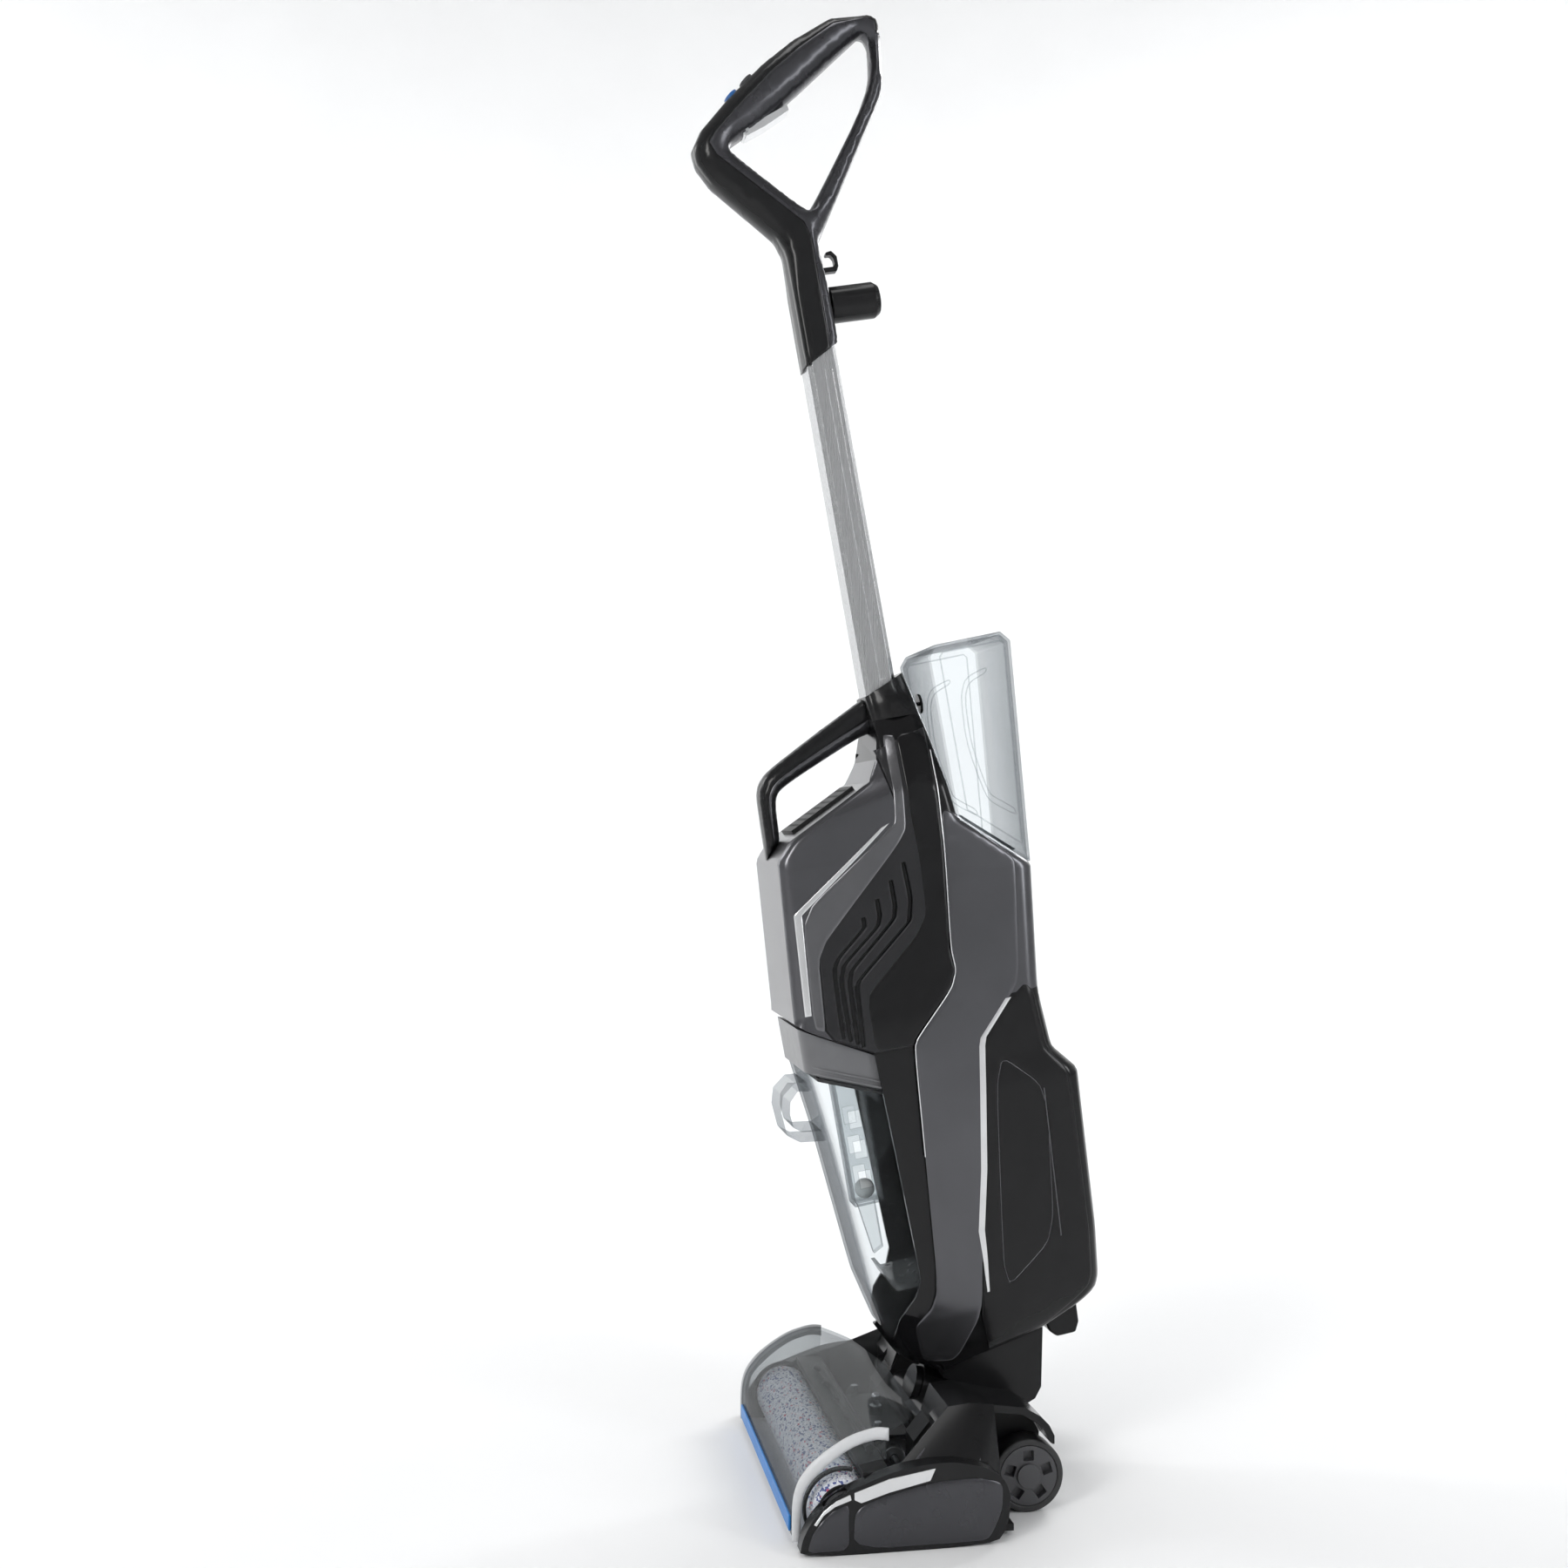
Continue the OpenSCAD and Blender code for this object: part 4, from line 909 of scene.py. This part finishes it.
lid_round = loft("lid_round", tank_ring_rows([(-300, -119.6), (-240, -119.6)], [(-350, 19.6), (-240, 19.6)],
                                             -349, -246, 4, 16, 12))
carve("tank_lid", "tank_cover", "lid", "lid", lid_round, 0.9)

UPPER = [(33.6, 12), (40, 20), (95, 22), (101.9, 14), (86.5, -160), (34, -114.2)]
LOWER = [(37.1, -112), (37.1, -199), (41, -203.4), (67, -203.4), (72.9, -198), (74.4, -149), (72, -132)]


def inset_loop(outline, inset):
    """The convex outline moved inwards by the inset."""
    loops = []
    for way in (1, -1):
        loop = []
        for k, p in enumerate(outline):
            normals = []
            for a, b in ((outline[k - 1], p), (p, outline[(k + 1) % len(outline)])):
                length = math.hypot(b[0] - a[0], b[1] - a[1])
                normals.append(((b[1] - a[1]) / length, (a[0] - b[0]) / length))
            (ax, ay), (bx, by) = normals
            share = way * inset / (1 + ax * bx + ay * by)
            loop.append((p[0] - (ax + bx) * share, p[1] - (ay + by) * share))
        loops.append(loop)
    return loops[0] if inside(np.array(loops[0]), outline).all() else loops[1]


def gem(outline, low, high, inset):
    """A block whose two sides slope in from the outline to a raised middle, like a cut stone."""
    middle = inset_loop(outline, inset)
    rings = [(-high, middle), (-low, outline), (low, outline), (high, middle)]
    points = [at(x, v, u) for x, loop in rings for v, u in loop]
    return solid("gem", points, stack_faces(len(outline), 4))


FACET = 7.5
clean = combined(gem(UPPER, 47, 53.9, FACET), "UNION", [prism(LOWER, -45.9, 45.9, at)], after=[
    ("DECIMATE", {"decimate_type": "DISSOLVE", "angle_limit": 0.006}),
    ("BEVEL", {"width": 0.0024, "segments": 3, "limit_method": "ANGLE", "angle_limit": 0.25,
               "use_clamp_overlap": True}),
    ("SOLIDIFY", {"thickness": WALL, "offset": -1.0})])
new_piece("clean_tank_shell", clean, "clear", "clean_tank", "clean_tank", 40)


def bead(name, paths, radius, material, body, cyclic=False):
    """Raised lines: thin tubes along paths of points."""
    data = bpy.data.curves.new(name, "CURVE")
    data.dimensions = "3D"
    data.bevel_depth, data.bevel_resolution = radius * MM, 2
    data.use_fill_caps = True
    for path in paths:
        spline = data.splines.new("POLY")
        spline.points.add(len(path) - 1)
        for point, place in zip(spline.points, path):
            point.co = (*place, 1)
        spline.use_cyclic_u = cyclic
    obj = shown(name, data)
    data.materials.append(M[material])
    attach(obj, body)


def flat_lines(x, path):
    """The path on both sides of the machine, x out from its middle."""
    return [[at(side * x, v, u) for v, u in path] for side in (1, -1)]


def skin_lines(lift, path):
    """The path on both sides of the body, lifted off its rounded surface."""
    return [[at(side * (skin_x(v, u) + lift), v, u) for v, u in path] for side in (1, -1)]


GROOVE = soften([(76, -4), (58, -10), (52, -24), (50, -60), (58, -104), (66, -112), (80, -122), (79, -116),
                 (67, -107), (60.5, -101), (53.5, -60), (55, -26), (60, -14), (76, -8)], 2, 0.2)
bead("clean_tank_grooves", flat_lines(53.8, GROOVE), 0.45, "clear_part", "clean_tank", True)

RIB = [(61 - 6 * t, -333 - 116 * t) for t in np.linspace(0, 1, 30)]
# A raised bead on the real seam between the grey side panel and the black in front of it; its silver colour is a
# painted highlight along that edge
PANEL_HIGHLIGHT_PATH = soften_open([(23, -60), (19, -104), (6.2, -212), (7.2, -230), (1.2, -243.3), (-31.3, -274.8), (-35.3, -282),
                    (-42, -374)], 2, 0.15)
PANEL_HIGHLIGHT_PATH = [(a[0] + (b[0] - a[0]) * t, a[1] + (b[1] - a[1]) * t)
        for a, b in zip(PANEL_HIGHLIGHT_PATH, PANEL_HIGHLIGHT_PATH[1:]) for t in np.arange(0, 1, 0.125)]
bead("panel_edge_painted_highlight", skin_lines(0.45, PANEL_HIGHLIGHT_PATH), 0.5, "silver", "upright")
bead("cover_ribs", skin_lines(0.35, RIB), 0.6, "grey", "upright")
# A raised bead on the recess's real edge; its grey, lighter than the black round it, is a painted highlight along
# that edge
bead("cover_recess_painted_highlight", skin_lines(0.05, sampled(RECESS, 4)), 0.4, "grey", "upright", True)
bead("clean_tank_edges", flat_lines(53.6, sampled(inset_loop(UPPER, FACET), 6)), 0.55, "clear_part", "clean_tank",
     True)
FLANGE = ring(58.6, -117.4, 18.4, 15, 12)
bead("lid_flanges", [[at(x, v, -288 - 0.4146 * (v + 117) + rise) for x, v in FLANGE] for rise in (2.0, 6.5)],
     1.0, "lid", "lid", True)

# ---- floor head details

def plate(name, corners, thick, material, body):
    """A thin panel over a sloping face, on both sides of the machine."""
    pts = [Vector(p) for p in corners]
    normal = (pts[1] - pts[0]).cross(pts[2] - pts[0]).normalized()
    if normal.x < 0:
        normal.negate()
    points = [tuple(p + normal * off * MM) for off in (-0.4, thick) for p in pts]
    mesh = baked(solid(name, *mirrored(points, stack_faces(len(pts), 2))),
                 [("BEVEL", {"width": 0.9 * MM, "segments": 3, "limit_method": "ANGLE", "angle_limit": 0.5})])
    new_piece(name, mesh, material, body, None, 38)


CHEEK = [(-14, 0), (-12, 12), (-7, 22), (1, 32), (12, 40), (27, 47), (57, 57), (80, 60), (100, 60), (125, 54),
         (136, 44), (140, 32), (137, 12), (128, 0)]
CHEEK_X = 136
soft_cheek = soften(CHEEK, 2, 0.2)
cheek_keep = combined(prism([(-40, -10), (-40, 120), (220, 120), (220, -10)], -CHEEK_X, CHEEK_X, head), "UNION",
                      [prism(soft_cheek, x, x + 20, head) for x in (-CHEEK_X - 20, CHEEK_X)])
for side in ("left", "right"):
    carve("side_cover_" + side, "foot_cover_" + side, "black", "foot", cheek_keep, 1.8, 3, 34)

RIM_OUT = soften_open([(-16, 4), (-16, 32), (-12, 46), (-3, 57.5), (9.5, 67), (25.5, 76.2), (45, 81.3),
                       (54.5, 80)], 3, 0.22)
RIM_IN = soften_open([(54.5, 71), (45, 73), (28, 68.5), (14, 60), (3, 51), (-6, 42), (-9.5, 31), (-10, 4)], 3, 0.22)
pillow("window_frame", RIM_OUT + RIM_IN, head, "light", "window", 3.9, 2.6, base=128.1, thin=1.6, times=1, step=1.6,
       rows=(0.4, 1.0, 1.9), power=2.0, replaced="window_rim", both=True)
GLASS = soften_open([(-15, 5), (-15, 32), (-11, 45), (-2, 56), (10, 66), (26, 75), (45, 80), (70, 77),
                     (92, 70)], 2, 0.22)
glass_zone = prism(GLASS + [(92, 1), (-15, 1)], -131, 131, head)
carve("window_shell", "window_glass", "clear_window", "window", glass_zone, 0.5)

SIDE_PANEL = [(24.5, 3.5), (25.5, 28), (31, 33.5), (48, 39.5), (80, 46.5), (112, 48.5), (131, 44.5), (133.5, 40),
              (133, 24), (124, 5.5), (117, 3.5)]
FRONT_PANEL = [(-8.5, 3.5), (-5, 15.5), (1.5, 24), (10, 31.5), (21.5, 35.5), (21.5, 3.5)]
for name, outline, radius, step in (("foot_panel_large", soften(SIDE_PANEL, 2, 0.2), 9, 2.6),
                                    ("foot_panel_front", soften(FRONT_PANEL, 2, 0.14), 7, 2.2)):
    pillow(name, outline, head, "grey_dark", "foot", 1.6, radius, base=148.35, thin=0.3, times=2, step=step,
           replaced="foot_side_panels", both=True)
SHOULDER = [head(135.6, 71, 57.5), head(135.6, 121, 54.5), head(104.6, 130, 82.5), head(104.6, 110, 82.2)]
plate("shoulder_panels", SHOULDER, 0.8, "grey_dark", "foot")

# ---- roll

def fluffy_roll():
    """The pile as a rough surface with three parting lines and rounded ends."""
    low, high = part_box("roll_pile")
    y, z = (low.y + high.y) / 2, (low.z + high.z) / 2
    rng = np.random.default_rng(7)
    along, around = 330, 190
    rough = rng.random((along, around))
    rough = (rough + np.roll(rough, 1, 0) + np.roll(rough, 1, 1)) / 3
    r = 0.0231 - 0.0026 * rough ** 1.4
    x = np.linspace(low.x, high.x, along)
    for band in (0.30, 0.36, 0.72):
        r -= (0.0012 * np.exp(-((x - (low.x + (high.x - low.x) * band)) / 0.0011) ** 2))[:, None]
    ends = np.clip(np.minimum(x - low.x, high.x - x) / 0.003, 0, 1)
    r = 0.0192 + (r - 0.0192) * np.sqrt(1 - (1 - ends) ** 2)[:, None]
    a = np.linspace(0, 2 * math.pi, around, endpoint=False)[None, :] + (rng.random((along, around)) - 0.5) * 0.02
    px = x[:, None] + (rng.random((along, around)) - 0.5) * 0.0008
    px[0], px[-1] = low.x, high.x
    points = np.stack([px, y + r * np.cos(a), z + r * np.sin(a)], 2).reshape(-1, 3)
    faces = [(i + j, i + (j + 1) % around, i + around + (j + 1) % around, i + around + j)
             for i in range(0, (along - 1) * around, around) for j in range(around)]
    mesh = bpy.data.meshes.new("fluff")
    mesh.from_pydata(points.tolist(), [], faces)
    new_piece("fluffy_roll", mesh, "pile", "roll", "roll_pile", 80)


fluffy_roll()
